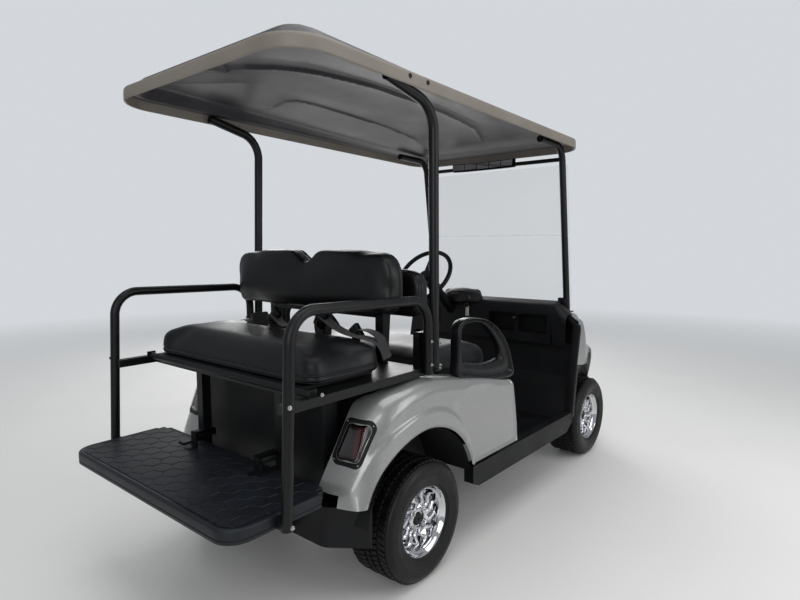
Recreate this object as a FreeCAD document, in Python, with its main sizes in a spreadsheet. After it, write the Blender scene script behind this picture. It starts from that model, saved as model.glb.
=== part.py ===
import FreeCAD, Part
import math
import os
import re

import Sketcher

# Golf cart with four seats: two face forward, two face back over a footrest.
# X runs forward, Y to the left and Z up. Every part is drawn in its own frame, measured
# forward from the rear axle line on the floor, and its Placement carries it to the origin
# below the middle of the cart.

V = FreeCAD.Vector
doc = FreeCAD.newDocument("GolfCart")

# Driving dimensions in millimetres, angles in degrees.
SIZES = [
    # Stance
    ("wheelbase", 1670, "rear axle to front axle"),
    ("rearTrack", 980, "between the middles of the rear tyres"),
    ("frontTrack", 900, "between the middles of the front tyres"),
    ("bodyWidth", 1172, "over the rear quarters and the cowl"),
    ("noseReach", 2050, "front bumper ahead of the rear axle"),
    ("footReach", 800, "footrest edge behind the rear axle"),
    # Wheels
    ("tyreDiameter", 458, "outside of the tread"),
    ("tyreWidth", 205, "across the sidewalls"),
    ("beadDiameter", 254, "where tyre and wheel meet"),
    ("wheelWidth", 178, "over both wheel lips"),
    ("lipDiameter", 280, "over the wheel lips"),
    ("wheelSkin", 9, "wall of the wheel's barrel"),
    ("hubDiameter", 92, "boss in the middle of the wheel"),
    ("spokeCount", 5, "twisted spokes of a wheel"),
    ("spindleDiameter", 36, "stub that carries a wheel"),
    ("runFit", 0.05, "radial play of a turning shaft"),
    ("seatFit", 0.3, "gap between parts that rest on each other"),
    # Chassis
    ("railSpacing", 380, "between the middles of the frame rails"),
    ("railWidth", 40, "thickness of a frame rail"),
    ("railHeight", 65, "height of a frame rail"),
    ("railTop", 280, "top of the rails under the floor"),
    ("kickRise", 90, "how far the rails rise over the rear axle"),
    ("frameTail", 330, "rear end of the frame behind the rear axle"),
    ("towHole", 20, "pin hole in the front cross member"),
    ("axleTube", 70, "diameter of the rear axle tube"),
    ("drumDiameter", 190, "rear brake drums"),
    ("kingpinSpacing", 750, "between the steering pivots"),
    ("kingpinDiameter", 20, "steering pivot"),
    ("steerArm", 70, "kingpin to tie rod end"),
    ("tieRodDiameter", 16, "rod between the knuckles"),
    ("batteryLength", 280, "battery pack, along the cart"),
    ("batteryWidth", 520, "battery pack, across the cart"),
    ("batteryHeight", 230, "battery pack"),
    # Floor
    ("floorSkin", 20, "ribbed floor pan"),
    ("ribSpan", 980, "from the first of the floor's ribs to the last"),
    ("ribCount", 15, "ribs on the floor"),
    ("ribWidth", 20, "width of a rib on the floor"),
    ("floorFront", 1300, "where the toe board starts"),
    ("seatBoxFront", 670, "face under the front seat"),
    ("toeRise", 220, "height of the toe board"),
    ("toeRun", 90, "how far the toe board leans forward"),
    ("rockerDepth", 46, "thickness of the strip under the door opening"),
    ("rockerHeight", 95, "height of that strip"),
    # Rear body
    ("archRadius", 322, "rear wheel opening"),
    ("archCentre", 262, "height of the rear wheel opening's middle"),
    ("bodySkin", 8, "wall of the painted body"),
    ("quarterTail", 372, "foot of the tail faces behind the axle"),
    ("tailHead", 233, "head of the tail faces behind the axle"),
    ("quarterFront", 697, "rear quarter ahead of the axle"),
    ("quarterSill", 357, "lower edge ahead of the wheel"),
    ("quarterTailSill", 385, "lower edge behind the wheel"),
    ("shoulderTail", 725, "shoulder at the tail"),
    ("shoulderTop", 762, "shoulder at the struts"),
    ("shoulderFront", 656, "shoulder at the front edge"),
    ("shoulderInner", 480, "half width inside the shoulders"),
    ("tailInner", 330, "half width of the bag well"),
    ("tailFoot", 387, "half width between the tail faces at their foot"),
    ("tailSpread", 430, "half width between the tail faces at their head"),
    ("shoulderRadius", 55, "round of the shoulder"),
    ("flareWidth", 42, "raised lip round the rear wheel opening"),
    ("flareProud", 5, "how far that lip stands out"),
    ("lampBack", 259, "middle of the tail lamps behind the axle"),
    ("lampHalf", 480, "middle of the tail lamps from the middle of the cart"),
    ("lampHeight", 580, "middle of the tail lamps above the floor"),
    ("lampTurn", 22, "how far the tail lamps turn outward"),
    ("lampLean", 18, "how far the tail lamps face up"),
    ("lampDepth", 50, "thickness of the tail lamps"),
    # Front body
    ("frontArch", 300, "front wheel opening"),
    ("frontArchCentre", 250, "height of the front wheel opening's middle"),
    ("cowlRear", 1440, "rear edge of the cowl's sides"),
    ("cowlTop", 870, "cowl at the windscreen"),
    ("cowlTopHalf", 470, "half width of the cowl's top"),
    ("dashTop", 930, "top of the dash"),
    ("dashHalf", 480, "half width of the dash"),
    ("binDepth", 66, "open bins in the dash"),
    ("wingTop", 640, "cowl's wings over the front wheels"),
    # Roof
    ("roofRear", 575, "roof edge behind the rear axle"),
    ("roofLength", 2030, "length of the roof"),
    ("roofWidth", 1110, "width of the roof"),
    ("roofLip", 1815, "height of the lip at the rear"),
    ("roofDrop", 55, "how much lower the lip is at the front"),
    ("roofRim", 48, "height of the upright rim"),
    ("roofCrown", 50, "height of the crown above the rim at the rear"),
    ("crownFall", 46, "how much less the crown rises at the front"),
    ("roofCrownInset", 22, "ledge between rim and crown"),
    ("crownRun", 58, "how far the crown's top stands in from its foot"),
    ("ceilingRibs", 133, "two long ribs under the roof from the middle"),
    ("ceilingRibWidth", 30, "width of those ribs"),
    ("ceilingRibDepth", 6, "depth of those ribs"),
    ("roofCorner", 150, "corner radius of the roof"),
    ("roofSkin", 8, "wall of the roof"),
    # Tubes
    ("strutTube", 38, "roof strut tubes"),
    ("railTube", 35, "grab rail tubes"),
    ("screenTube", 36, "windscreen frame tubes"),
    ("strutX", 95, "rear struts ahead of the axle"),
    ("strutSpread", 1094, "between the feet of the rear struts"),
    ("screenFootX", 1487, "foot of the windscreen frame"),
    ("screenHeadX", 1366, "head of the windscreen frame"),
    ("screenSpread", 926, "between the windscreen frame's tubes"),
    ("paneSplit", 1301, "height of the line between the panes"),
    ("paneHalf", 486, "half width of the panes"),
    ("paneSkin", 5, "thickness of a pane"),
    # Rear seat and its frame
    ("deckTop", 797, "top of the fixed deck under the rear seat"),
    ("deckSkin", 12, "thickness of that deck"),
    ("flipX", 478, "flip hinge behind the axle"),
    ("flipTube", 26, "tube of the flip hinge"),
    ("flipPin", 12, "pins of the flip hinge"),
    ("rearSeatRear", 472, "knee edge of the rear cushion behind the axle"),
    ("rearSeatFront", 107, "back edge of the rear cushion behind the axle"),
    ("rearSeatHalf", 455, "half width of the rear cushion"),
    ("cushionThick", 103, "thickness of a cushion"),
    ("sideRail", 30, "square tube of the rear seat frame"),
    ("sideRailHalf", 517, "middle of the seat frame's side tubes"),
    ("legX", 394, "seat frame legs behind the axle"),
    ("legHalf", 250, "seat frame legs from the middle"),
    ("legTube", 38, "square tube of the legs"),
    ("postX", 612, "grab rail posts behind the axle"),
    ("railHalf", 550, "grab rails from the middle"),
    ("grabTop", 1064, "middle of the grab rails' top run"),
    ("grabFront", 73, "front end of the grab rails"),
    ("grabBend", 95, "bend radius of the grab rails"),
    ("footTop", 480, "top of the footrest"),
    ("footThick", 45, "depth of the footrest's skirt"),
    ("footFront", 418, "front edge of the footrest behind the axle"),
    ("footHalf", 520, "half width of the footrest"),
    ("footCorner", 75, "corner radius of the footrest"),
    # Seats
    ("backHalf", 475, "half width of the backrests"),
    ("backLow", 1012, "lower edge of the backrests"),
    ("backHigh", 1222, "upper edge of the backrests"),
    ("backThick", 95, "thickness of the backrests"),
    ("rearBackX", -85, "rear face of the rear backrest"),
    ("frontBackX", 95, "rear face of the front backrest"),
    ("frontSeatRear", 185, "rear edge of the front cushion"),
    ("frontSeatFront", 655, "front edge of the front cushion"),
    ("frontSeatHalf", 470, "half width of the front cushion"),
    ("seatBoardLow", 690, "underside of the front seat board"),
    ("seatBoard", 14, "thickness of the front seat board"),
    # Steering wheel
    ("helmX", 1060, "middle of the steering wheel ahead of the axle"),
    ("helmY", 240, "middle of the steering wheel from the middle"),
    ("helmZ", 1075, "middle of the steering wheel above the floor"),
    ("helmRadius", 172, "steering wheel to the middle of its rim"),
    ("helmRim", 26, "thickness of the steering wheel's rim"),
    ("helmLean", 38, "fall of the steering column from level"),
]

# Places worked out from the sizes.
PLACES = [
    ("axleX", "(Sizes.footReach - Sizes.noseReach) / 2"),
    ("tyreRadius", "Sizes.tyreDiameter / 2"),
    ("bodyHalf", "Sizes.bodyWidth / 2"),
    ("railHalfSpacing", "Sizes.railSpacing / 2"),
    ("railInner", "(Sizes.railSpacing - Sizes.railWidth) / 2"),
    ("railOuter", "(Sizes.railSpacing + Sizes.railWidth) / 2"),
    ("railLow", "Sizes.railTop - Sizes.railHeight"),
    ("kickTop", "Sizes.railTop + Sizes.kickRise"),
    ("floorTop", "Sizes.railTop + Sizes.floorSkin"),
    ("kingpin", "Sizes.kingpinSpacing / 2"),
    ("roofHalf", "Sizes.roofWidth / 2"),
    ("deckLow", "Sizes.deckTop - Sizes.deckSkin"),
    ("trayLow", "Sizes.deckTop + 3"),
    ("flipZ", "Sizes.deckTop + 1.5"),
    ("cushionLow", "Sizes.deckTop + 15 + Sizes.seatFit"),
    ("railFace", "Sizes.railHalf - Sizes.railTube / 2"),
    ("seatTop", "Sizes.seatBoardLow + Sizes.seatBoard"),
]

sizes = doc.addObject("Spreadsheet::Sheet", "Sizes")
for row, (alias, amount, note) in enumerate(SIZES, start=1):
    sizes.set("A%d" % row, alias)
    sizes.set("B%d" % row, str(amount))
    sizes.set("C%d" % row, note)
    sizes.setAlias("B%d" % row, alias)
doc.recompute()

places = doc.addObject("Spreadsheet::Sheet", "Places")
for row, (alias, formula) in enumerate(PLACES, start=1):
    places.set("A%d" % row, alias)
    places.set("B%d" % row, "=" + formula)
    places.setAlias("B%d" % row, alias)
doc.recompute()

SIZE_NAMES = {alias for alias, amount, note in SIZES}
PLACE_NAMES = {alias for alias, formula in PLACES}
finished = []


def bound(text):
    # Puts the sheet's name before each size or place in an expression.
    def full(match):
        word = match.group(0)
        if word in SIZE_NAMES:
            return "Sizes." + word
        if word in PLACE_NAMES:
            return "Places." + word
        return word
    return re.sub(r"[A-Za-z]\w*", full, str(text))


def value(text):
    return float(sizes.evalExpression(bound(text)))


def signed(side, text):
    return "%d * (%s)" % (side, text)


def place(part, x="0", y="0", z="0"):
    part.setExpression("Placement.Base.x", bound("axleX + " + str(x)))
    part.setExpression("Placement.Base.y", bound(y))
    part.setExpression("Placement.Base.z", bound(z))


def newBody(name, x="0", y="0", z="0"):
    body = doc.addObject("PartDesign::Body", name)
    body.Label = name
    place(body, x, y, z)
    finished.append(body)
    return body


def originPart(body, role):
    return [part for part in body.Origin.OriginFeatures if part.Role == role][0]


def newSketch(body, plane, name, offset="0"):
    sketch = body.newObject("Sketcher::SketchObject", name)
    sketch.AttachmentSupport = (originPart(body, plane), [""])
    sketch.MapMode = "FlatFace"
    sketch.setExpression("AttachmentOffset.Base.z", bound(offset))
    return sketch


def tie(sketch, kind, arguments, text):
    index = sketch.addConstraint(Sketcher.Constraint(kind, *arguments, value(text)))
    sketch.setExpression("Constraints[%d]" % index, bound(text))


def outline(sketch, corners, closed=True):
    # Straight runs between corners, each (across, up) or (across, up, corner radius).
    count = len(corners)
    spots = [V(value(corner[0]), value(corner[1]), 0) for corner in corners]
    rounds = [value(corner[2]) if len(corner) > 2 else 0.0 for corner in corners]
    arrive = list(spots)
    leave = list(spots)
    arcs = {}
    for i in range(count):
        if rounds[i] <= 0:
            continue
        back = (spots[i - 1] - spots[i]).normalize()
        ahead = (spots[(i + 1) % count] - spots[i]).normalize()
        half = back.getAngle(ahead) / 2
        reach = rounds[i] / math.tan(half)
        arrive[i] = spots[i] + back * reach
        leave[i] = spots[i] + ahead * reach
        centre = spots[i] + (back + ahead).normalize() * (rounds[i] / math.sin(half))
        leftTurn = back.cross(ahead).z < 0
        arcs[i] = (centre, leftTurn)
    first = sketch.GeometryCount
    runs = count if closed else count - 1
    for i in range(runs):
        sketch.addGeometry(Part.LineSegment(leave[i], arrive[(i + 1) % count]), False)
    for i in range(count):
        before = first + (i - 1) % count
        after = first + i
        hasBefore = closed or i > 0
        hasAfter = closed or i < count - 1
        if i in arcs:
            centre, leftTurn = arcs[i]
            start = arrive[i] if leftTurn else leave[i]
            stop = leave[i] if leftTurn else arrive[i]
            fromAngle = math.atan2(start.y - centre.y, start.x - centre.x)
            toAngle = math.atan2(stop.y - centre.y, stop.x - centre.x)
            ring = Part.Circle(centre, V(0, 0, 1), rounds[i])
            arc = sketch.addGeometry(Part.ArcOfCircle(ring, fromAngle, toAngle), False)
            inEnd, outEnd = (1, 2) if leftTurn else (2, 1)
            sketch.addConstraint(Sketcher.Constraint("Tangent", before, 2, arc, inEnd))
            sketch.addConstraint(Sketcher.Constraint("Tangent", arc, outEnd, after, 1))
            tie(sketch, "Radius", (arc,), corners[i][2])
            corner = sketch.addGeometry(Part.Point(spots[i]), True)
            sketch.addConstraint(Sketcher.Constraint("PointOnObject", corner, 1, before))
            sketch.addConstraint(Sketcher.Constraint("PointOnObject", corner, 1, after))
            anchor = (corner, 1)
        else:
            if hasBefore and hasAfter:
                sketch.addConstraint(Sketcher.Constraint("Coincident", before, 2, after, 1))
            anchor = (after, 1) if hasAfter else (before, 2)
        tie(sketch, "DistanceX", anchor, corners[i][0])
        tie(sketch, "DistanceY", anchor, corners[i][1])
    return sketch


def circle(sketch, across, up, radius):
    ring = Part.Circle(V(value(across), value(up), 0), V(0, 0, 1), value(radius))
    index = sketch.addGeometry(ring, False)
    tie(sketch, "DistanceX", (index, 3), across)
    tie(sketch, "DistanceY", (index, 3), up)
    tie(sketch, "Radius", (index,), radius)
    return sketch


def box(sketch, left, low, right, high):
    return outline(sketch, [(left, low), (right, low), (right, high), (left, high)])


def extrude(body, kind, sketch, length, both=False, back=False, taper=None):
    feature = body.newObject("PartDesign::" + kind, sketch.Name + kind)
    feature.Profile = sketch
    feature.setExpression("Length", bound(length))
    if both:
        feature.SideType = "Symmetric"
    feature.Reversed = back
    if taper is not None:
        feature.setExpression("TaperAngle", bound(taper))
    sketch.Visibility = False
    return feature


def pad(body, sketch, length, **options):
    return extrude(body, "Pad", sketch, length, **options)


def pocket(body, sketch, length, **options):
    return extrude(body, "Pocket", sketch, length, **options)


def roundEdges(body, radius, chosen):
    # Rounds the edges of the body's tip that the given test picks.
    doc.recompute()
    base = body.Tip
    edges = base.Shape.Edges
    names = ["Edge%d" % (i + 1) for i, edge in enumerate(edges) if chosen(edge)]
    feature = body.newObject("PartDesign::Fillet", "Round")
    feature.Base = (base, names)
    feature.setExpression("Radius", bound(radius))
    return feature


def sidePad(body, name, corners, inner, outer, side, kind="Pad"):
    # A side view, in X and Z, carried across from one half width to another.
    sketch = newSketch(body, "XZ_Plane", name, signed(-side, inner))
    outline(sketch, corners)
    length = "(%s) - (%s)" % (outer, inner)
    return extrude(body, kind, sketch, length, back=(side > 0) == (kind == "Pad"))


def middlePad(body, name, corners, half, kind="Pad"):
    sketch = newSketch(body, "XZ_Plane", name)
    outline(sketch, corners)
    return extrude(body, kind, sketch, "2 * (%s)" % half, both=True)


def planPad(body, name, corners, low, high, kind="Pad"):
    sketch = newSketch(body, "XY_Plane", name, low)
    outline(sketch, corners)
    return extrude(body, kind, sketch, "(%s) - (%s)" % (high, low), back=(kind == "Pocket"))


def drum(body, name, x, z, radius, inner, outer, side, kind="Pad"):
    # A round bar or bore along Y, from one half width to another.
    sketch = newSketch(body, "XZ_Plane", name, signed(-side, inner))
    circle(sketch, x, z, radius)
    length = "(%s) - (%s)" % (outer, inner)
    return extrude(body, kind, sketch, length, back=(side > 0) == (kind == "Pad"))


def upright(body, name, x, y, radius, low, high, kind="Pad"):
    sketch = newSketch(body, "XY_Plane", name, low)
    circle(sketch, x, y, radius)
    return extrude(body, kind, sketch, "(%s) - (%s)" % (high, low), back=(kind == "Pocket"))


def bentTube(points, bend, radius):
    # A round bar along straight runs joined by tangent arcs.
    edges = []
    start = points[0]
    for i in range(1, len(points) - 1):
        back = (points[i - 1] - points[i]).normalize()
        ahead = (points[i + 1] - points[i]).normalize()
        half = back.getAngle(ahead) / 2
        reach = bend / math.tan(half)
        into = points[i] + back * reach
        out = points[i] + ahead * reach
        centre = points[i] + (back + ahead).normalize() * (bend / math.sin(half))
        middle = centre + (points[i] - centre).normalize() * bend
        edges.append(Part.LineSegment(start, into).toShape())
        edges.append(Part.Arc(into, middle, out).toShape())
        start = out
    edges.append(Part.LineSegment(start, points[-1]).toShape())
    path = Part.Wire(edges)
    ring = Part.Circle(points[0], points[1] - points[0], radius)
    return path.makePipeShell([Part.Wire(ring.toShape())], True, False)


def solidPart(name, shape, x="0", y="0", z="0"):
    part = doc.addObject("Part::Feature", name)
    part.Label = name
    part.Shape = shape
    place(part, x, y, z)
    finished.append(part)
    return part


def point(x, y, z):
    return V(value(x), value(y), value(z))


# Tyres and wheels, turned about Y and placed at the axle ends
WHEELS = [
    # corner, forward, side, track
    ("rl", "0", 1, "rearTrack"),
    ("rr", "0", -1, "rearTrack"),
    ("fl", "wheelbase", 1, "frontTrack"),
    ("fr", "wheelbase", -1, "frontTrack"),
]


def turned(body, name, corners):
    sketch = newSketch(body, "YZ_Plane", name)
    outline(sketch, corners)
    feature = body.newObject("PartDesign::Revolution", name + "Turned")
    feature.Profile = sketch
    feature.ReferenceAxis = (originPart(body, "Y_Axis"), [""])
    feature.Angle = 360
    return feature


def tyre(corner, x, side, track):
    body = newBody("tyre_" + corner, x, signed(side, track + " / 2"), "tyreRadius")
    bead = "beadDiameter / 2 + seatFit"
    turned(body, "Tyre" + corner, [
        ("-wheelWidth / 2 + 9", bead),
        ("wheelWidth / 2 - 9", bead),
        ("wheelWidth / 2 - 9", "lipDiameter / 2 + 6"),
        ("tyreWidth / 2", "tyreRadius * 0.76", "20"),
        ("tyreWidth / 2 - 6", "tyreRadius", "26"),
        ("-tyreWidth / 2 + 6", "tyreRadius", "26"),
        ("-tyreWidth / 2", "tyreRadius * 0.76", "20"),
        ("-wheelWidth / 2 + 9", "lipDiameter / 2 + 6"),
    ])


def wheel(corner, x, side, track):
    body = newBody("wheel_" + corner, x, signed(side, track + " / 2"), "tyreRadius")
    barrelOut = "beadDiameter / 2"
    barrelIn = "beadDiameter / 2 - wheelSkin"
    lip = "lipDiameter / 2"
    turned(body, "Barrel" + corner, [
        ("-wheelWidth / 2", barrelIn),
        ("wheelWidth / 2", barrelIn),
        ("wheelWidth / 2", lip),
        ("wheelWidth / 2 - 8", lip),
        ("wheelWidth / 2 - 8", barrelOut),
        ("-wheelWidth / 2 + 8", barrelOut),
        ("-wheelWidth / 2 + 8", lip),
        ("-wheelWidth / 2", lip),
    ])
    face = [
        (signed(side, "62"), "0"),
        (signed(side, "62"), "hubDiameter / 2 - 8"),
        (signed(side, "52"), "hubDiameter / 2"),
        (signed(side, "66"), barrelIn + " + 1"),
        (signed(side, "50"), barrelIn + " + 1"),
        (signed(side, "38"), "hubDiameter / 2"),
        (signed(side, "-8"), "hubDiameter / 2"),
        (signed(side, "-8"), "spindleDiameter / 2 + runFit"),
        (signed(side, "46"), "spindleDiameter / 2 + runFit"),
        (signed(side, "46"), "0"),
    ]
    turned(body, "Face" + corner, face)
    sketch = newSketch(body, "XZ_Plane", "Window" + corner)
    outline(sketch, [
        ("-12", "hubDiameter / 2 + 10", "6"),
        ("14", "hubDiameter / 2 + 6", "6"),
        ("52", "beadDiameter / 2 - wheelSkin - 22", "8"),
        ("2", "beadDiameter / 2 - wheelSkin - 8", "8"),
    ])
    cut = extrude(body, "Pocket", sketch, "wheelWidth", both=True)
    pattern = body.newObject("PartDesign::PolarPattern", "Windows" + corner)
    pattern.Originals = [cut]
    pattern.Axis = (originPart(body, "Y_Axis"), [""])
    pattern.Angle = 360
    pattern.setExpression("Occurrences", bound("spokeCount"))
    body.Tip = pattern


for wheelRow in WHEELS:
    tyre(*wheelRow)
    wheel(*wheelRow)

# Chassis frame: two rails that rise over the rear axle, with cross members between
frame = newBody("chassis_frame")
railOutline = [
    ("-frameTail", "kickTop - railHeight"),
    ("130", "kickTop - railHeight"),
    ("330", "railLow"),
    ("noseReach - 120", "railLow"),
    ("noseReach - 120", "railTop"),
    ("330", "railTop"),
    ("150", "kickTop"),
    ("-frameTail", "kickTop"),
]
for side in (1, -1):
    sidePad(frame, "Rail" + "RL"[side > 0], railOutline, "railInner", "railOuter", side)
CROSS_MEMBERS = [
    # rear face, underside, top
    ("-frameTail", "kickTop - railHeight", "kickTop"),
    ("340", "railLow", "railTop"),
    ("floorFront - 300", "railLow", "railTop"),
    ("wheelbase - 130", "railLow", "railTop"),
    ("noseReach - 160", "railLow", "railTop"),
]
for number, (rear, low, high) in enumerate(CROSS_MEMBERS):
    sketch = newSketch(frame, "XZ_Plane", "Cross%d" % number)
    box(sketch, rear, low, rear + " + 40", high)
    pad(frame, sketch, "railInner * 2", both=True)
upright(frame, "TowHole", "noseReach - 140", "0", "towHole / 2", "railLow - 5", "railTop + 5",
        kind="Pocket")
springInner = "rearTrack / 2 - 212"
springOuter = "rearTrack / 2 - 168"
for number, rear in enumerate(("-290", "250")):
    for side in (1, -1):
        name = "Hanger%d%s" % (number, "RL"[side > 0])
        top = "kickTop" if number == 0 else "railTop + 30"
        sketch = newSketch(frame, "XZ_Plane", name, signed(-side, "railOuter"))
        box(sketch, rear, "288", rear + " + 34", top)
        pad(frame, sketch, springOuter + " - railOuter", back=side > 0)

# Rear axle: tube, drums, stubs and the motor with its final drive
axle = newBody("drive_axle", z="tyreRadius")
rearStub = "rearTrack / 2 + 44"
turned(axle, "Axle", [
    ("-(" + rearStub + ")", "0"),
    (rearStub, "0"),
    (rearStub, "spindleDiameter / 2"),
    ("rearTrack / 2 - 95", "spindleDiameter / 2"),
    ("rearTrack / 2 - 95", "drumDiameter / 2", "8"),
    ("rearTrack / 2 - 150", "drumDiameter / 2", "8"),
    ("rearTrack / 2 - 150", "axleTube / 2"),
    ("95", "axleTube / 2"),
    ("70", "80", "12"),
    ("-40", "80", "12"),
    ("-65", "axleTube / 2"),
    ("-rearTrack / 2 + 150", "axleTube / 2"),
    ("-rearTrack / 2 + 150", "drumDiameter / 2", "8"),
    ("-rearTrack / 2 + 95", "drumDiameter / 2", "8"),
    ("-rearTrack / 2 + 95", "spindleDiameter / 2"),
    ("-(" + rearStub + ")", "spindleDiameter / 2"),
])
sketch = newSketch(axle, "XZ_Plane", "Motor", "-60")
circle(sketch, "-118", "12", "72")
pad(axle, sketch, "200")

# Leaf springs hang from the frame and pass under the axle tube
springs = newBody("rear_springs")
for side in (1, -1):
    sidePad(springs, "Leaf" + "RL"[side > 0], [
        ("-290", "264"),
        ("-262", "264"),
        ("-60", "tyreRadius - axleTube / 2 - 24"),
        ("60", "tyreRadius - axleTube / 2 - 24"),
        ("250", "264"),
        ("284", "264"),
        ("284", "288"),
        ("244", "288"),
        ("56", "tyreRadius - axleTube / 2"),
        ("-56", "tyreRadius - axleTube / 2"),
        ("-256", "288"),
        ("-290", "288"),
    ], springInner, springOuter, side)

battery = newBody("battery_pack")
planPad(battery, "Battery", [
    ("345", "-batteryWidth / 2", "20"),
    ("345 + batteryLength", "-batteryWidth / 2", "20"),
    ("345 + batteryLength", "batteryWidth / 2", "20"),
    ("345", "batteryWidth / 2", "20"),
], "railTop", "railTop + batteryHeight")

# Front axle beam with an eye at each end for the kingpins
beam = newBody("front_axle")
beamTop = "railLow"
sketch = newSketch(beam, "XZ_Plane", "Beam")
box(sketch, "wheelbase - 30", "railLow - 40", "wheelbase + 30", beamTop)
pad(beam, sketch, "kingpinSpacing - 24", both=True)
for side in (1, -1):
    end = "RL"[side > 0]
    spot = signed(side, "kingpin")
    upright(beam, "Eye" + end, "wheelbase", spot, "22", "railLow - 40", "tyreRadius + 40")
    upright(beam, "Bore" + end, "wheelbase", spot, "kingpinDiameter / 2 + runFit",
            "railLow - 40", "tyreRadius + 40", kind="Pocket")


def knuckle(side):
    # Fork round the beam's eye, with its kingpin, wheel spindle and steering arm.
    body = newBody("knuckle_" + ("left" if side > 0 else "right"), "wheelbase",
                   signed(side, "kingpin"))
    end = "RL"[side > 0]
    forkTop = "tyreRadius + 41"
    forkLow = "railLow - 41"
    for name, low, high in (("Upper", forkTop, forkTop + " + 16"),
                            ("Lower", forkLow + " - 16", forkLow)):
        planPad(body, name + end, [
            ("-22", signed(side, "-22"), "8"),
            ("22", signed(side, "-22"), "8"),
            ("22", signed(side, "44")),
            ("-22", signed(side, "44")),
        ], low, high)
        if name == "Upper":
            planPad(body, "Web" + end, [
                ("-22", signed(side, "25")),
                ("22", signed(side, "25")),
                ("22", signed(side, "44")),
                ("-22", signed(side, "44")),
            ], forkLow + " - 16", forkTop)
    upright(body, "Kingpin" + end, "0", "0", "kingpinDiameter / 2", forkLow, forkTop)
    drum(body, "Spindle" + end, "0", "tyreRadius", "spindleDiameter / 2", "44",
         "(frontTrack - kingpinSpacing) / 2 + 44", side)
    armLow = "railLow - 57"
    planPad(body, "Arm" + end, [
        ("-steerArm - 12", signed(side, "-12"), "8"),
        ("-22", signed(side, "-18")),
        ("-22", signed(side, "18")),
        ("-steerArm - 12", signed(side, "12"), "8"),
    ], armLow, "railLow - 41")


knuckle(1)
knuckle(-1)

rod = newBody("tie_rod", "wheelbase - steerArm")
sketch = newSketch(rod, "XZ_Plane", "Rod")
circle(sketch, "0", "railLow - 41 + tieRodDiameter / 2 + seatFit", "tieRodDiameter / 2")
pad(rod, sketch, "kingpinSpacing + 24", both=True)

# Floor pan: ribbed floor, sloping toe board and the wall up to the dash
floor = newBody("floor_pan")
toeTop = "floorTop + toeRise"
middlePad(floor, "Pan", [
    ("seatBoxFront", "railTop"),
    ("floorFront", "railTop"),
    ("floorFront + toeRun + 12", toeTop + " - 4"),
    ("floorFront + toeRun + 42", "dashTop - 230"),
    ("floorFront + toeRun + 24", "dashTop - 230"),
    ("floorFront + toeRun - 6", toeTop),
    ("floorFront - 10", "floorTop"),
    ("seatBoxFront", "floorTop"),
], "bodyHalf - rockerDepth")
sketch = newSketch(floor, "XY_Plane", "Rib", "floorTop")
box(sketch, "seatBoxFront + 60", "-(ribSpan + ribWidth) / 2", "floorFront - 60",
    "-(ribSpan - ribWidth) / 2")
rib = pad(floor, sketch, "4")
ribs = floor.newObject("PartDesign::LinearPattern", "Ribs")
ribs.Originals = [rib]
ribs.Direction = (originPart(floor, "Y_Axis"), [""])
ribs.setExpression("Length", bound("ribSpan"))
ribs.setExpression("Occurrences", bound("ribCount"))
floor.Tip = ribs

rockers = newBody("rocker_strips")
rockerOutline = [
    ("archRadius - 5", "floorTop + 45 - rockerHeight + 20"),
    ("archRadius + 40", "floorTop + 45 - rockerHeight"),
    ("floorFront - 60", "floorTop + 45 - rockerHeight"),
    ("floorFront + 10", "floorTop - 8"),
    ("floorFront", "floorTop + 45"),
    ("archRadius - 5", "floorTop + 45"),
]
for side in (1, -1):
    sidePad(rockers, "Rocker" + "RL"[side > 0], rockerOutline, "bodyHalf - rockerDepth",
            "bodyHalf", side)

# Seat box under the front cushion, open below
seatBox = newBody("seat_box")
middlePad(seatBox, "SeatBox", [
    ("170", "shoulderFront - 40"),
    ("170", "seatBoardLow"),
    ("seatBoxFront", "seatBoardLow"),
    ("seatBoxFront", "floorTop + seatFit"),
    ("seatBoxFront - bodySkin", "floorTop + seatFit"),
    ("seatBoxFront - bodySkin", "seatBoardLow - bodySkin"),
    ("170 + bodySkin", "seatBoardLow - bodySkin"),
    ("170 + bodySkin", "shoulderFront - 40"),
], "shoulderInner")


# Rear quarters: lofted shells with a leaning tail, a rolled shoulder and the wheel opening
QUARTER_ROWS = [
    # station, half width at the sill, half width at the shoulder, shoulder height, roll
    ("-quarterTail", "tailFoot + 75", "tailFoot + 58", "quarterTailSill + 15", "20"),
    ("-quarterTail + 42", "bodyHalf - 26", "bodyHalf - 91", "quarterTailSill + 105", "88"),
    ("-tailHead", "bodyHalf", "bodyHalf - 46", "shoulderTail - 25", "118"),
    ("-tailHead + 53", "bodyHalf", "bodyHalf - 20", "shoulderTail + 10", "95"),
    ("-tailHead + 133", "bodyHalf", "bodyHalf - 3", "shoulderTail + 25", "65"),
    ("35", "bodyHalf", "bodyHalf", "shoulderTop", "shoulderRadius"),
    ("quarterFront", "bodyHalf", "bodyHalf", "shoulderFront - 8", "26"),
]

# A tail lamp seen square on: outward, up, corner radius
LAMP_CORNERS = [
    (-88, -77, "18"),
    (27, -89, "18"),
    (77, 77, "18"),
    (-17, 89, "18"),
]


def quarterSection(body, name, row, side, inset):
    station, foot, outer, top, roll = row
    sketch = newSketch(body, "YZ_Plane", name, station)
    inner = "tailInner - 1" if inset else "tailInner"
    low = "quarterSill - 1" if inset else "quarterSill"
    cut = "bodySkin" if inset else "0"
    return outline(sketch, [
        (signed(side, inner), low),
        (signed(side, foot + " - " + cut), low),
        (signed(side, outer + " - " + cut), top + " - " + cut, roll + " - " + cut),
        (signed(side, inner), top + " - " + cut),
    ])


def loft(body, name, sections, kind):
    feature = body.newObject("PartDesign::%sLoft" % kind, name)
    feature.Profile = sections[0]
    feature.Sections = sections[1:]
    feature.Ruled = True
    return feature


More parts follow.
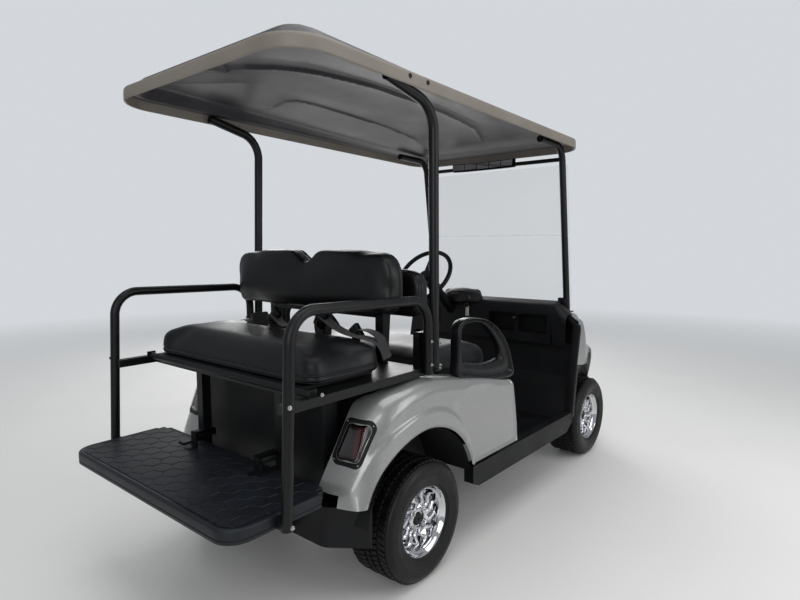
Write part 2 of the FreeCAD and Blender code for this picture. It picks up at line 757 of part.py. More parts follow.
def lampSketch(body, name, side, margin):
    # A tail lamp's outline on a plane that turns outward and leans back with the tail.
    sketch = newSketch(body, "YZ_Plane", name, "-lampBack")
    outward = FreeCAD.Rotation(V(0, 1, 0), value(signed(-side, "lampTurn")))
    upward = FreeCAD.Rotation(V(1, 0, 0), value("lampLean"))
    sketch.AttachmentOffset = FreeCAD.Placement(V(0, 0, 0), outward * upward)
    sketch.setExpression("AttachmentOffset.Base.x", bound(signed(side, "lampHalf")))
    sketch.setExpression("AttachmentOffset.Base.y", bound("lampHeight"))
    corners = []
    for across, up, corner in LAMP_CORNERS:
        wide = "%s %s %s" % (across, "+-"[across < 0], margin)
        tall = "%s %s %s" % (up, "+-"[up < 0], margin)
        corners.append((signed(side, wide), tall, corner))
    return outline(sketch, corners)


def quarter(side):
    body = newBody("quarter_" + ("left" if side > 0 else "right"))
    end = "RL"[side > 0]
    outer = [quarterSection(body, "Outer%s%d" % (end, i), row, side, False)
             for i, row in enumerate(QUARTER_ROWS)]
    loft(body, "Skin" + end, outer, "Additive")
    # The cavity follows the skin, and stands a wall's thickness ahead of it at the tail
    tail = [(row[0] + " + bodySkin + 1",) + row[1:] for row in QUARTER_ROWS[:4]]
    last = ("quarterFront - bodySkin",) + QUARTER_ROWS[-1][1:]
    rows = tail + QUARTER_ROWS[4:-1] + [last]
    inner = [quarterSection(body, "Inner%s%d" % (end, i), row, side, True)
             for i, row in enumerate(rows)]
    loft(body, "Cavity" + end, inner, "Subtractive")
    # The lip of the wheel opening stands proud and turns in behind the skin
    drum(body, "Flare" + end, "0", "archCentre", "archRadius + flareWidth", "bodyHalf - 40",
         "bodyHalf + flareProud", side)
    # The tail's lower edge stands above the sill ahead of the wheel
    sidePad(body, "Sills" + end, [
        ("-quarterTail - 5", "archCentre - archRadius - 50"),
        ("quarterFront + 5", "archCentre - archRadius - 50"),
        ("quarterFront + 5", "quarterSill"),
        ("0", "quarterSill"),
        ("0", "quarterTailSill"),
        ("-quarterTail - 5", "quarterTailSill"),
    ], "tailInner - 5", "bodyHalf + 10", side, kind="Pocket")
    # Only the shoulder is roofed over, inboard of it lie the bag well and the seat
    sidePad(body, "Open" + end, [
        ("-tailHead + 22", "shoulderTail - 60"),
        ("quarterFront + 5", "quarterSill - 5"),
        ("quarterFront + 5", "shoulderTop + 50"),
        ("-tailHead + 22", "shoulderTop + 50"),
    ], "tailInner - 5", "shoulderInner", side, kind="Pocket")
    # The tail faces stand apart, wider at their heads
    sketch = newSketch(body, "YZ_Plane", "TailGap" + end, "-quarterTail - 5")
    outline(sketch, [
        (signed(side, "tailInner - 10"), "quarterTailSill - 60"),
        (signed(side, "tailFoot"), "quarterTailSill - 60"),
        (signed(side, "tailFoot"), "quarterTailSill"),
        (signed(side, "tailSpread"), "shoulderTail - 35"),
        (signed(side, "tailSpread"), "shoulderTail + 60"),
        (signed(side, "tailInner - 10"), "shoulderTail + 60"),
    ])
    pocket(body, sketch, "quarterTail - tailHead + 60", back=True)
    drum(body, "Arch" + end, "0", "archCentre", "archRadius", "tailInner - 5",
         "bodyHalf + 10", side, kind="Pocket")
    pocket(body, lampSketch(body, "LampHole" + end, side, "seatFit"), "lampDepth + 30", both=True)
    sidePad(body, "Rake" + end, [
        ("quarterFront", "quarterSill - 5"),
        ("quarterFront + 60", "quarterSill - 5"),
        ("quarterFront + 60", "shoulderTop"),
        ("quarterFront - 34", "shoulderTop"),
        ("quarterFront - 34", "shoulderFront"),
    ], "tailInner - 5", "bodyHalf + 10", side, kind="Pocket")


quarter(1)
quarter(-1)

# Tail lamps sit in the quarters' leaning tails
lamps = newBody("tail_lamps")
for side in (1, -1):
    pad(lamps, lampSketch(lamps, "Lamp" + "RL"[side > 0], side, "0"), "lampDepth", both=True)

# Bag well between the quarters, open above
well = newBody("bag_well")


def wellOutline(inset):
    # Wide between the tail faces, narrower between the rear wheels.
    rear = "-frameTail + seatFit + " + inset
    neck = "-archRadius + 60 - " + inset
    front = "20 - " + inset
    wide = "(tailFoot - seatFit - %s)" % inset
    narrow = "(tailInner - seatFit - %s)" % inset
    return [
        (rear, "-" + wide),
        (neck, "-" + wide),
        (neck, "-" + narrow),
        (front, "-" + narrow),
        (front, narrow),
        (neck, narrow),
        (neck, wide),
        (rear, wide),
    ]


planPad(well, "Well", wellOutline("0"), "kickTop + seatFit", "shoulderTail")
planPad(well, "WellSpace", wellOutline("bodySkin"), "kickTop + bodySkin", "shoulderTail + 5",
        kind="Pocket")

rearBumper = newBody("rear_bumper")
planPad(rearBumper, "RearBumper", [
    ("-375", "-430", "70"),
    ("-275", "-560", "14"),
    ("-255", "-548"),
    ("-frameTail", "-445", "40"),
    ("-frameTail", "445", "40"),
    ("-255", "548"),
    ("-275", "560", "14"),
    ("-375", "430", "70"),
], "235", "quarterTailSill - 8")

# Front cowl: a lofted hood between two wings, open below and behind
COWL_ROWS = [
    # station, wing half width, wing height, hood half width, hood height
    ("cowlRear", "bodyHalf", "wingTop", "cowlTopHalf + 35", "cowlTop"),
    ("cowlRear + 120", "bodyHalf", "wingTop", "cowlTopHalf + 30", "cowlTop"),
    ("cowlRear + 310", "bodyHalf", "wingTop - 25", "cowlTopHalf - 60", "cowlTop - 115"),
    ("noseReach - 150", "bodyHalf - 24", "wingTop - 65", "cowlTopHalf - 130", "cowlTop - 245"),
    ("noseReach - 58", "bodyHalf - 110", "wingTop - 140", "cowlTopHalf - 210", "cowlTop - 345"),
]
cowl = newBody("front_cowl")


def cowlSection(name, row, inset, station=None):
    ownStation, wing, wingTop, hood, hoodTop = row
    cut = "bodySkin" if inset else "0"
    low = "299" if inset else "300"
    sketch = newSketch(cowl, "YZ_Plane", name, station or ownStation)
    return outline(sketch, [
        ("-(%s - %s)" % (wing, cut), low),
        ("%s - %s" % (wing, cut), low),
        ("%s - %s" % (wing, cut), "%s - %s" % (wingTop, cut), "30"),
        ("%s - %s" % (hood, cut), "%s - %s" % (hoodTop, cut), "40"),
        ("-(%s - %s)" % (hood, cut), "%s - %s" % (hoodTop, cut), "40"),
        ("-(%s - %s)" % (wing, cut), "%s - %s" % (wingTop, cut), "30"),
    ])


outer = [cowlSection("CowlOuter%d" % i, row, False) for i, row in enumerate(COWL_ROWS)]
loft(cowl, "CowlSkin", outer, "Additive")
inner = [cowlSection("CowlInner0", COWL_ROWS[0], True, "cowlRear - 1")]
inner += [cowlSection("CowlInner%d" % i, COWL_ROWS[i], True) for i in (1, 2, 3)]
inner.append(cowlSection("CowlInner4", COWL_ROWS[4], True, "noseReach - 58 - bodySkin"))
loft(cowl, "CowlSpace", inner, "Subtractive")
for side in (1, -1):
    sidePad(cowl, "Cheek" + "RL"[side > 0], [
        ("floorFront + 4", "floorTop + 49"),
        ("floorFront + 10", "floorTop - 4"),
        ("cowlRear + 20", "floorTop - 4"),
        ("cowlRear + 20", "wingTop - 40"),
        ("cowlRear - 30", "wingTop - 40"),
    ], "bodyHalf - bodySkin", "bodyHalf", side)
sketch = newSketch(cowl, "XZ_Plane", "FrontArches")
circle(sketch, "wheelbase", "frontArchCentre", "frontArch")
pocket(cowl, sketch, "bodyWidth + 20", both=True)
for side in (1, -1):
    end = "RL"[side > 0]
    sketch = newSketch(cowl, "YZ_Plane", "LampHole" + end, "noseReach - 200")
    outline(sketch, [
        (signed(side, "290"), "505", "12"),
        (signed(side, "420"), "505", "12"),
        (signed(side, "420"), "565", "12"),
        (signed(side, "290"), "565", "12"),
    ])
    pocket(cowl, sketch, "220", back=True)

headLamps = newBody("head_lamps")
for side in (1, -1):
    end = "RL"[side > 0]
    sketch = newSketch(headLamps, "YZ_Plane", "HeadLamp" + end, "noseReach - 185")
    outline(sketch, [
        (signed(side, "290 + seatFit"), "505 + seatFit", "12"),
        (signed(side, "420 - seatFit"), "505 + seatFit", "12"),
        (signed(side, "420 - seatFit"), "565 - seatFit", "12"),
        (signed(side, "290 + seatFit"), "565 - seatFit", "12"),
    ])
    pad(headLamps, sketch, "110")

frontBumper = newBody("front_bumper")
planPad(frontBumper, "FrontBumper", [
    ("noseReach - 58 + seatFit", "-bodyHalf + 110"),
    ("noseReach - 130", "-bodyHalf + 42"),
    ("noseReach - 118", "-bodyHalf + 14", "10"),
    ("noseReach - 28", "-bodyHalf + 100", "50"),
    ("noseReach", "-330", "90"),
    ("noseReach", "330", "90"),
    ("noseReach - 28", "bodyHalf - 100", "50"),
    ("noseReach - 118", "bodyHalf - 14", "10"),
    ("noseReach - 130", "bodyHalf - 42"),
    ("noseReach - 58 + seatFit", "bodyHalf - 110"),
], "200", "430")

# Dash: a moulded beam on the cowl with a pod for the dials
dash = newBody("dash")
dashRear = "cowlRear - 110"
middlePad(dash, "Dash", [
    (dashRear, "dashTop - 229"),
    (dashRear, "dashTop - 25", "20"),
    (dashRear + " + 40", "dashTop", "20"),
    ("cowlRear + 20", "dashTop + 6", "14"),
    ("cowlRear + 26", "cowlTop + seatFit"),
    ("cowlRear - 8", "cowlTop + seatFit"),
    ("cowlRear - 8", "dashTop - 229"),
], "dashHalf - 40")
sketch = newSketch(dash, "YZ_Plane", "Pod", dashRear + " + 20")
outline(sketch, [
    ("60", "dashTop - 30"),
    ("80", "dashTop + 48", "35"),
    ("290", "dashTop + 48", "35"),
    ("310", "dashTop - 30"),
])
pad(dash, sketch, "80")
DASH_BINS = [
    # from, to, across the cart
    ("-415", "-235"),
    ("-215", "-40"),
    ("315", "415"),
]
for number, (near, far) in enumerate(DASH_BINS):
    sketch = newSketch(dash, "YZ_Plane", "Bin%d" % number, dashRear + " - 5")
    outline(sketch, [
        (near, "dashTop - 175", "14"),
        (far, "dashTop - 175", "14"),
        (far, "dashTop - 70", "14"),
        (near, "dashTop - 70", "14"),
    ])
    pocket(dash, sketch, "binDepth + 5", back=True)

# Steering column and wheel share a frame whose Z points up the column
helmTurn = FreeCAD.Rotation(V(0, 1, 0), value("helmLean - 90"))
column = newBody("steering_column", "helmX", "helmY", "helmZ")
column.Placement.Rotation = helmTurn
sketch = newSketch(column, "XZ_Plane", "Column")
outline(sketch, [
    ("0", "-420"),
    ("32", "-420"),
    ("32", "-48", "10"),
    ("10", "-38"),
    ("10", "-8"),
    ("0", "-8"),
])
turn = column.newObject("PartDesign::Revolution", "ColumnTurned")
turn.Profile = sketch
turn.ReferenceAxis = (originPart(column, "Z_Axis"), [""])
turn.Angle = 360
# The foot of the column is cut to the upright face of the dash
cutAt = "(helmX - (%s) + seatFit %%s 45 * sin(helmLean)) / cos(helmLean)" % dashRear
sketch = newSketch(column, "XZ_Plane", "ColumnFoot")
outline(sketch, [
    ("45", cutAt % "+"),
    ("45", "-700"),
    ("-45", "-700"),
    ("-45", cutAt % "-"),
])
pocket(column, sketch, "100", both=True)

helm = newBody("steering_wheel", "helmX", "helmY", "helmZ")
helm.Placement.Rotation = helmTurn
sketch = newSketch(helm, "XZ_Plane", "Hub")
outline(sketch, [
    ("0", "-7"),
    ("10 + runFit", "-7"),
    ("10 + runFit", "-34"),
    ("30", "-34"),
    ("34", "10", "8"),
    ("0", "12"),
])
turn = helm.newObject("PartDesign::Revolution", "HubTurned")
turn.Profile = sketch
turn.ReferenceAxis = (originPart(helm, "Z_Axis"), [""])
turn.Angle = 360
sketch = newSketch(helm, "XY_Plane", "Spoke", "-14")
outline(sketch, [
    ("20", "-16"),
    ("helmRadius", "-24"),
    ("helmRadius", "24"),
    ("20", "16"),
])
spoke = pad(helm, sketch, "12")
spokes = helm.newObject("PartDesign::PolarPattern", "Spokes")
spokes.Originals = [spoke]
spokes.Axis = (originPart(helm, "Z_Axis"), [""])
spokes.Angle = 360
spokes.Occurrences = 3
helm.Tip = spokes
sketch = newSketch(helm, "XZ_Plane", "Ring")
circle(sketch, "helmRadius", "0", "helmRim / 2")
turn = helm.newObject("PartDesign::Revolution", "RingTurned")
turn.Profile = sketch
turn.ReferenceAxis = (originPart(helm, "Z_Axis"), [""])
turn.Angle = 360

# Pedals stand off the sloping toe board
pedals = newBody("pedals")
toeLength = "sqrt((toeRun + 4) ^ 2 + toeRise ^ 2)"


def onToe(up, out):
    # A place that far up the toe board's face and that far out from it.
    across = "floorFront - 10 + (toeRun + 4) * %s / %s - toeRise * %s / %s"
    rise = "floorTop + toeRise * %s / %s + (toeRun + 4) * %s / %s"
    lengths = ("(%s)" % up, toeLength, "(%s)" % out, toeLength)
    return (across % lengths, rise % lengths)


PEDALS = [
    # near edge, far edge, stalk's height, pad's foot, pad's head
    ("90", "150", "110", "50", "170"),
    ("190", "290", "120", "90", "160"),
]
for number, (near, far, stalk, foot, head) in enumerate(PEDALS):
    sidePad(pedals, "Pedal%d" % number, [
        onToe(stalk, "seatFit"),
        onToe(stalk + " + 16", "seatFit"),
        onToe(stalk + " + 16", "45"),
        onToe(head, "45"),
        onToe(head, "55"),
        onToe(foot, "55"),
        onToe(foot, "45"),
        onToe(stalk, "45"),
    ], near, far, 1)

# Roof: rim, a crown that falls toward the front and a hollow, ribbed underside, tilted forward
roof = newBody("roof", "-roofRear", "0", "roofLip")
roof.Placement.Rotation = FreeCAD.Rotation(V(0, 1, 0), value("atan(roofDrop / roofLength)"))
crownTilt = FreeCAD.Rotation(V(0, 1, 0), value("atan(crownFall / roofLength)"))


def roofOutline(name, inset, low, corner, turn=FreeCAD.Rotation()):
    sketch = newSketch(roof, "XY_Plane", name, low)
    sketch.AttachmentOffset = FreeCAD.Placement(sketch.AttachmentOffset.Base, turn)
    return outline(sketch, [
        (inset, "-roofHalf + " + inset, corner),
        ("roofLength - " + inset, "-roofHalf + " + inset, corner),
        ("roofLength - " + inset, "roofHalf - " + inset, corner),
        (inset, "roofHalf - " + inset, corner),
    ])


pad(roof, roofOutline("Rim", "0", "0", "roofCorner"), "roofRim")
crownFoot = "(roofCrownInset)"
crownHead = "(roofCrownInset + crownRun)"
loft(roof, "Crown", [
    roofOutline("CrownFoot", crownFoot, "roofRim", "roofCorner - " + crownFoot),
    roofOutline("CrownHead", crownHead, "roofRim + roofCrown", "roofCorner - " + crownHead,
                crownTilt),
], "Additive")
pocket(roof, roofOutline("UnderRim", "roofSkin", "roofRim - roofSkin", "roofCorner - roofSkin"),
       "roofRim + 10")
crownFoot = "(roofCrownInset + roofSkin)"
crownHead = "(roofCrownInset + roofSkin + crownRun)"
ceiling = "roofRim + roofCrown - roofSkin"
loft(roof, "UnderCrown", [
    roofOutline("UnderFoot", crownFoot, "roofRim - roofSkin - 0.1", "roofCorner - " + crownFoot),
    roofOutline("UnderHead", crownHead, ceiling, "roofCorner - " + crownHead, crownTilt),
], "Subtractive")
for side in (1, -1):
    sketch = newSketch(roof, "XY_Plane", "CeilingRib" + "RL"[side > 0],
                       ceiling + " - ceilingRibDepth")
    sketch.AttachmentOffset = FreeCAD.Placement(sketch.AttachmentOffset.Base, crownTilt)
    near = signed(side, "ceilingRibs - ceilingRibWidth / 2")
    far = signed(side, "ceilingRibs + ceilingRibWidth / 2")
    outline(sketch, [
        ("roofLength * 0.12", near, "8"),
        ("roofLength * 0.78", near, "8"),
        ("roofLength * 0.78", far, "8"),
        ("roofLength * 0.12", far, "8"),
    ])
    pad(roof, sketch, "ceilingRibDepth + roofSkin / 2")

# Rear struts rise from the seat frame, bend back below the roof and run along its rim
strutTop = "roofHalf - roofSkin - strutTube / 2 - seatFit"
for side in (1, -1):
    shape = bentTube([
        point("strutX", signed(side, "strutSpread / 2"), "shoulderTop + 30"),
        point("strutX + 17", signed(side, strutTop), "roofLip - 55"),
        point("strutX - 245", signed(side, strutTop), "roofLip + 7"),
    ], 110, value("strutTube / 2"))
    solidPart("rear_strut_" + ("left" if side > 0 else "right"), shape)

# Windscreen frame: two leaning tubes that bend back under the roof, with a cross tube
screenFoot = "(cowlTop + seatFit + 3)"
screenHead = "roofLip - roofDrop * (screenHeadX + roofRear) / roofLength + 22"
tubes = []
for side in (1, -1):
    spread = signed(side, "screenSpread / 2")
    tubes.append(bentTube([
        point("screenFootX", spread, screenFoot),
        point("screenHeadX", spread, screenHead),
        point("screenHeadX - 260", spread, screenHead + " + 7"),
    ], 90, value("screenTube / 2")))
    tubes.append(Part.makeBox(58, 50, 5, point("screenFootX - 20", spread + " - 25",
                                               "cowlTop + seatFit")))
crossZ = "1717"
lean = "(screenFootX - screenHeadX) / (%s - %s)" % (screenHead, screenFoot)
crossX = "screenFootX - (%s - %s) * %s" % (crossZ, screenFoot, lean)
spread = value("screenSpread / 2")
tubes.append(Part.makeCylinder(11, 2 * spread, point(crossX, -spread, crossZ), V(0, 1, 0)))
solidPart("screen_frame", tubes[0].fuse(tubes[1:]).removeSplitter())


def alongScreen(height, ahead):
    across = "screenFootX - (%s - %s) * %s + %s" % (height, screenFoot, lean, ahead)
    return (across, height)


panes = newBody("screen_panes")
paneBack = "screenTube / 2 * 1.009 + seatFit"
for name, low, high in (("Lower", "cowlTop + 25", "paneSplit - 1.5"),
                        ("Upper", "paneSplit + 1.5", "1690")):
    middlePad(panes, name, [
        alongScreen(low, paneBack),
        alongScreen(low, paneBack + " + paneSkin"),
        alongScreen(high, paneBack + " + paneSkin"),
        alongScreen(high, paneBack),
    ], "paneHalf")

mirror = newBody("mirror")
mirrorX = crossX + " - 11 - seatFit"
sketch = newSketch(mirror, "XY_Plane", "Mirror", crossZ + " - 24")
outline(sketch, [
    (mirrorX + " - 52", "-206"),
    (mirrorX + " - 40", "-208"),
    (mirrorX + " - 30", "-125"),
    (mirrorX + " - 28", "-42"),
    (mirrorX + " - 28", "42"),
    (mirrorX + " - 30", "125"),
    (mirrorX + " - 40", "208"),
    (mirrorX + " - 52", "206"),
    (mirrorX + " - 42", "125"),
    (mirrorX + " - 40", "42"),
    (mirrorX + " - 40", "-42"),
    (mirrorX + " - 42", "-125"),
])
pad(mirror, sketch, "48")
sketch = newSketch(mirror, "XY_Plane", "MirrorArm", crossZ + " - 8")
box(sketch, mirrorX + " - 30", "-22", mirrorX, "22")
pad(mirror, sketch, "16")

# Rear seat frame: side tubes, cross tubes, fixed deck, legs and the flip hinge's pins
seatFrame = newBody("rear_seat_frame")
tubeLow = "deckTop - sideRail"
tubeIn = "sideRailHalf - sideRail / 2"
tubeOut = "sideRailHalf + sideRail / 2"
for side in (1, -1):
    end = "RL"[side > 0]
    sketch = newSketch(seatFrame, "XZ_Plane", "SideTube" + end, signed(-side, tubeIn))
    box(sketch, "-postX + 2", tubeLow, "60", "deckTop")
    pad(seatFrame, sketch, "sideRail", back=side > 0)
for number, rear in enumerate(("-flipX + flipTube / 2 + 6", "-250", "25")):
    sketch = newSketch(seatFrame, "XZ_Plane", "CrossTube%d" % number)
    box(sketch, rear, tubeLow, rear + " + 30", "deckLow")
    pad(seatFrame, sketch, "2 * (%s)" % tubeIn, both=True)
sketch = newSketch(seatFrame, "XZ_Plane", "Deck")
box(sketch, "-flipX + flipTube / 2 + 6", "deckLow", "60", "deckTop")
pad(seatFrame, sketch, "2 * (%s)" % tubeIn, both=True)
for side in (1, -1):
    end = "RL"[side > 0]
    sketch = newSketch(seatFrame, "XZ_Plane", "Leg" + end,
                       signed(-side, "legHalf - legTube / 2"))
    outline(sketch, [
        ("-legX - 19", "260"),
        ("-legX + 19", "260"),
        ("-legX + 19", "deckLow"),
        ("-legX - 19", "deckLow"),
        ("-legX - 19", "footTop + 6"),
        ("-footFront - 82", "footTop + 6"),
        ("-footFront - 82", "footTop"),
        ("-legX - 19", "footTop"),
    ])
    pad(seatFrame, sketch, "legTube", back=side > 0)
    sketch = newSketch(seatFrame, "XZ_Plane", "Ear" + end, signed(-side, tubeIn))
    box(sketch, "-flipX - 17", tubeLow, "-flipX + 17", "flipZ + 17")
    pad(seatFrame, sketch, "6", back=side > 0)
    drum(seatFrame, "Pin" + end, "-flipX", "flipZ", "flipPin / 2", tubeIn + " - 24",
         tubeIn + " + 2", side)

# Brackets that carry the struts' feet stand on the seat frame's front end
brackets = newBody("strut_brackets")
bracketInner = "496"
bracketOuter = "strutSpread / 2 - strutTube / 2 - 5"
footLow = "shoulderTop + 22"
for side in (1, -1):
    end = "RL"[side > 0]
    sidePad(brackets, "Bracket" + end, [
        ("30", "deckTop + seatFit"),
        ("62", "deckTop + seatFit"),
        ("62", footLow),
        ("strutX + 26", footLow),
        ("strutX + 26", "930", "16"),
        ("30", "930", "16"),
    ], bracketInner, bracketOuter, side)
    planPad(brackets, "StrutFoot" + end, [
        ("strutX - 21", signed(side, bracketInner)),
        ("strutX + 26", signed(side, bracketInner)),
        ("strutX + 26", signed(side, "strutSpread / 2 + 23"), "12"),
        ("strutX - 21", signed(side, "strutSpread / 2 + 23"), "12"),
    ], footLow, "shoulderTop + 29.3")

# Grab rails: posts beside the footrest, bent forward over the cushion's sides
for side in (1, -1):
    spread = signed(side, "railHalf")
    rail = bentTube([
        point("-postX - 12", spread, "footTop - footThick"),
        point("-postX + 16", spread, "grabTop + 6"),
        point("50", spread, "grabTop - 8"),
        point("54", spread, "shoulderTop + 14"),
    ], value("grabBend"), value("railTube / 2"))
    near = min(value(signed(side, "footHalf")), value(signed(side, "railHalf - 6")))
    tab = Part.makeBox(36, value("railHalf - 6 - footHalf"), 34,
                       V(value("-postX - 28"), near, value("footTop - footThick + 4")))
    shape = rail.fuse(tab).removeSplitter()
    solidPart("grab_rail_" + ("left" if side > 0 else "right"), shape)

# Footrest: a ribbed tray turned down at its edges
footrest = newBody("footrest")


def footOutline(inset):
    corner = "footCorner - " + inset
    return [
        ("-footReach + " + inset, "-footHalf + " + inset, corner),
        ("-footFront - " + inset, "-footHalf + " + inset, "20"),
        ("-footFront - " + inset, "footHalf - " + inset, "20"),
        ("-footReach + " + inset, "footHalf - " + inset, corner),
    ]


planPad(footrest, "Foot", footOutline("0"), "footTop - footThick", "footTop")
sketch = newSketch(footrest, "XY_Plane", "FootUnder", "footTop - 7")
outline(sketch, footOutline("7"))
pocket(footrest, sketch, "footThick")

# Seats
def cushion(name, rear, front, half, low, thick):
    body = newBody(name)
    planPad(body, name + "Block", [
        (rear, "-(%s)" % half, "60"),
        (front, "-(%s)" % half, "60"),
        (front, half, "60"),
        (rear, half, "60"),
    ], low, low + " + " + thick)
    top = value(low + " + " + thick)
    roundEdges(body, "cushionThick * 0.35",
               lambda edge: abs(edge.BoundBox.ZMin - top) < 0.01)


cushion("rear_cushion", "-rearSeatRear", "-rearSeatFront", "rearSeatHalf", "cushionLow",
        "cushionThick")
cushion("front_cushion", "frontSeatRear", "frontSeatFront", "frontSeatHalf",
        "seatTop + 2 * seatFit", "cushionThick")

board = newBody("front_seat_board")
planPad(board, "Board", [
    ("frontSeatRear", "-frontSeatHalf + 12", "50"),
    ("frontSeatFront - 8", "-frontSeatHalf + 12", "50"),
    ("frontSeatFront - 8", "frontSeatHalf - 12", "50"),
    ("frontSeatRear", "frontSeatHalf - 12", "50"),
], "seatBoardLow + seatFit", "seatTop + seatFit")

flip = newBody("flip_deck")
planPad(flip, "Tray", [
    ("-flipX", "-rearSeatHalf + 6", "4"),
    ("-rearSeatFront - 8", "-rearSeatHalf + 6", "50"),
    ("-rearSeatFront - 8", "rearSeatHalf - 6", "50"),
    ("-flipX", "rearSeatHalf - 6", "4"),
], "trayLow", "trayLow + 12")
sketch = newSketch(flip, "XZ_Plane", "HingeTube")
circle(sketch, "-flipX", "flipZ", "flipTube / 2")
pad(flip, sketch, "2 * (%s) - 5" % tubeIn, both=True)
for side in (1, -1):
    drum(flip, "HingeBore" + "RL"[side > 0], "-flipX", "flipZ", "flipPin / 2 + runFit",
         tubeIn + " - 28", tubeIn, side, kind="Pocket")


def backrest(name, face):
    body = newBody(name)
    sketch = newSketch(body, "YZ_Plane", name + "Front", face)
    outline(sketch, [
        ("-backHalf", "backLow", "60"),
        ("backHalf", "backLow", "60"),
        ("backHalf", "backHigh - 14", "75"),
        ("280", "backHigh", "150"),
        ("75", "backHigh", "60"),
        ("0", "backHigh - 48", "30"),
        ("-75", "backHigh", "60"),
        ("-280", "backHigh", "150"),
        ("-backHalf", "backHigh - 14", "75"),
    ])
    pad(body, sketch, "backThick")


backrest("rear_backrest", "rearBackX")
backrest("front_backrest", "frontBackX")

# Backrest frame stands on the seat frame's deck between the two backrests
backFrame = newBody("backrest_frame")
backRear = "rearBackX + backThick + seatFit"
backFront = "frontBackX - seatFit"
for number, spot in enumerate(("-330", "0", "330")):
    sketch = newSketch(backFrame, "XZ_Plane", "Upright%d" % number, "-(%s + 20)" % spot)
    outline(sketch, [
        ("25", "deckTop + seatFit"),
        ("55", "deckTop + seatFit"),
        ("70", "backLow - 30"),
        (backFront, "backLow + 20"),
        (backFront, "backHigh - 60"),
        (backRear, "backHigh - 60"),
        (backRear, "backLow + 20"),
        ("25", "backLow - 30"),
    ])
    pad(backFrame, sketch, "40", back=False)
sketch = newSketch(backFrame, "XZ_Plane", "Tie")
box(sketch, "26", "backLow - 40", "54", "backLow - 12")
pad(backFrame, sketch, "660", both=True)

# Hip restraints: moulded hoops on the quarters' shoulders
slope = "(shoulderTop - shoulderFront + 8) / (quarterFront - 35)"


def onShoulder(x, up):
    return (x, "shoulderTop - (%s - 35) * %s + %s" % (x, slope, up))


restraints = newBody("hip_restraints")
for side in (1, -1):
    end = "RL"[side > 0]
    sketch = newSketch(restraints, "XZ_Plane", "Hoop" + end, signed(-side, "bodyHalf - 56"))
    outline(sketch, [
        onShoulder("240", "seatFit"),
        onShoulder("quarterFront - 42", "seatFit"),
        ("quarterFront + 6", "shoulderFront + 44", "30"),
        ("quarterFront - 46", "shoulderFront + 148", "60"),
        ("quarterFront - 170", "shoulderFront + 262", "90"),
        ("quarterFront - 300", "shoulderFront + 298", "60"),
        ("quarterFront - 410", "shoulderFront + 284", "60"),
        ("236", "shoulderFront + 190", "60"),
    ])
    outline(sketch, [
        ("275", "shoulderFront + 125", "20"),
        ("420", "shoulderFront + 62", "60"),
        ("quarterFront - 62", "shoulderFront + 42", "20"),
        ("quarterFront - 90", "shoulderFront + 128", "50"),
        ("quarterFront - 185", "shoulderFront + 228", "70"),
        ("quarterFront - 300", "shoulderFront + 264", "50"),
        ("quarterFront - 395", "shoulderFront + 250", "40"),
        ("272", "shoulderFront + 175", "30"),
    ])
    pad(restraints, sketch, "30", back=side > 0)

doc.recompute()
for part in doc.Objects:
    if "Invalid" in part.State or "Error" in part.State:
        raise RuntimeError("failed: " + part.Name)
os.makedirs("parts", exist_ok=True)
for part in finished:
    if part.Shape.isNull() or not part.Shape.isValid():
        raise RuntimeError("no valid shape: " + part.Label)
    part.Shape.exportStep("parts/" + part.Label + ".step")
    print(part.Label, len(part.Shape.Solids), round(part.Shape.Volume / 1e3))
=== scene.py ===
import math

import bmesh
import bpy
from mathutils import Matrix, Vector
from mathutils.bvhtree import BVHTree


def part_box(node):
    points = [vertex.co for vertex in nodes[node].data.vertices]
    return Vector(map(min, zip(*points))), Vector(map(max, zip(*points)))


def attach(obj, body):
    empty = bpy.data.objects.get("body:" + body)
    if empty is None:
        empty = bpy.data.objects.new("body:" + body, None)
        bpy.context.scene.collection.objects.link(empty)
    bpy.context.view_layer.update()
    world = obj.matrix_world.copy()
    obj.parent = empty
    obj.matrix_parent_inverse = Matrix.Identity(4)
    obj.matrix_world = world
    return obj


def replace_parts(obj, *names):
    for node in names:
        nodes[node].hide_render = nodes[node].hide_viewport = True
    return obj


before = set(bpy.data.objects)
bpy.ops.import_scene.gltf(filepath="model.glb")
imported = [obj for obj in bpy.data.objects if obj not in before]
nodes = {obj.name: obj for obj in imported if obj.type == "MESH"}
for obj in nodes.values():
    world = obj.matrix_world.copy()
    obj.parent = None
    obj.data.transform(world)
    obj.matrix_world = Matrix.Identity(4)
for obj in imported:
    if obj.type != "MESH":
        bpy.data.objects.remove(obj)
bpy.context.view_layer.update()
print("frame: %d nodes" % len(nodes))

# Everything below is placed in millimetres from the rear axle line on the floor
rearAxle = (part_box("tyre_rr")[0].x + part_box("tyre_rr")[1].x) / 2
mm = 0.001


def at(x, y, z):
    return Vector((rearAxle + x * mm, y * mm, z * mm))


def linear(hexColour):
    # sRGB hex to the linear colour that the shader takes
    parts = [int(hexColour[i:i + 2], 16) / 255 for i in (0, 2, 4)]
    return tuple(c / 12.92 if c <= 0.04045 else ((c + 0.055) / 1.055) ** 2.4 for c in parts) + (1.0,)


def addNode(tree, kind, values=None, links=None, **settings):
    # one node: settings are its properties, values its sockets, links the sockets that feed it
    node = tree.nodes.new("ShaderNode" + kind)
    for key, setting in settings.items():
        setattr(node, key, setting)
    for key, amount in (values or {}).items():
        node.inputs[key].default_value = amount
    for key, source in (links or {}).items():
        tree.links.new(source, node.inputs[key])
    return node


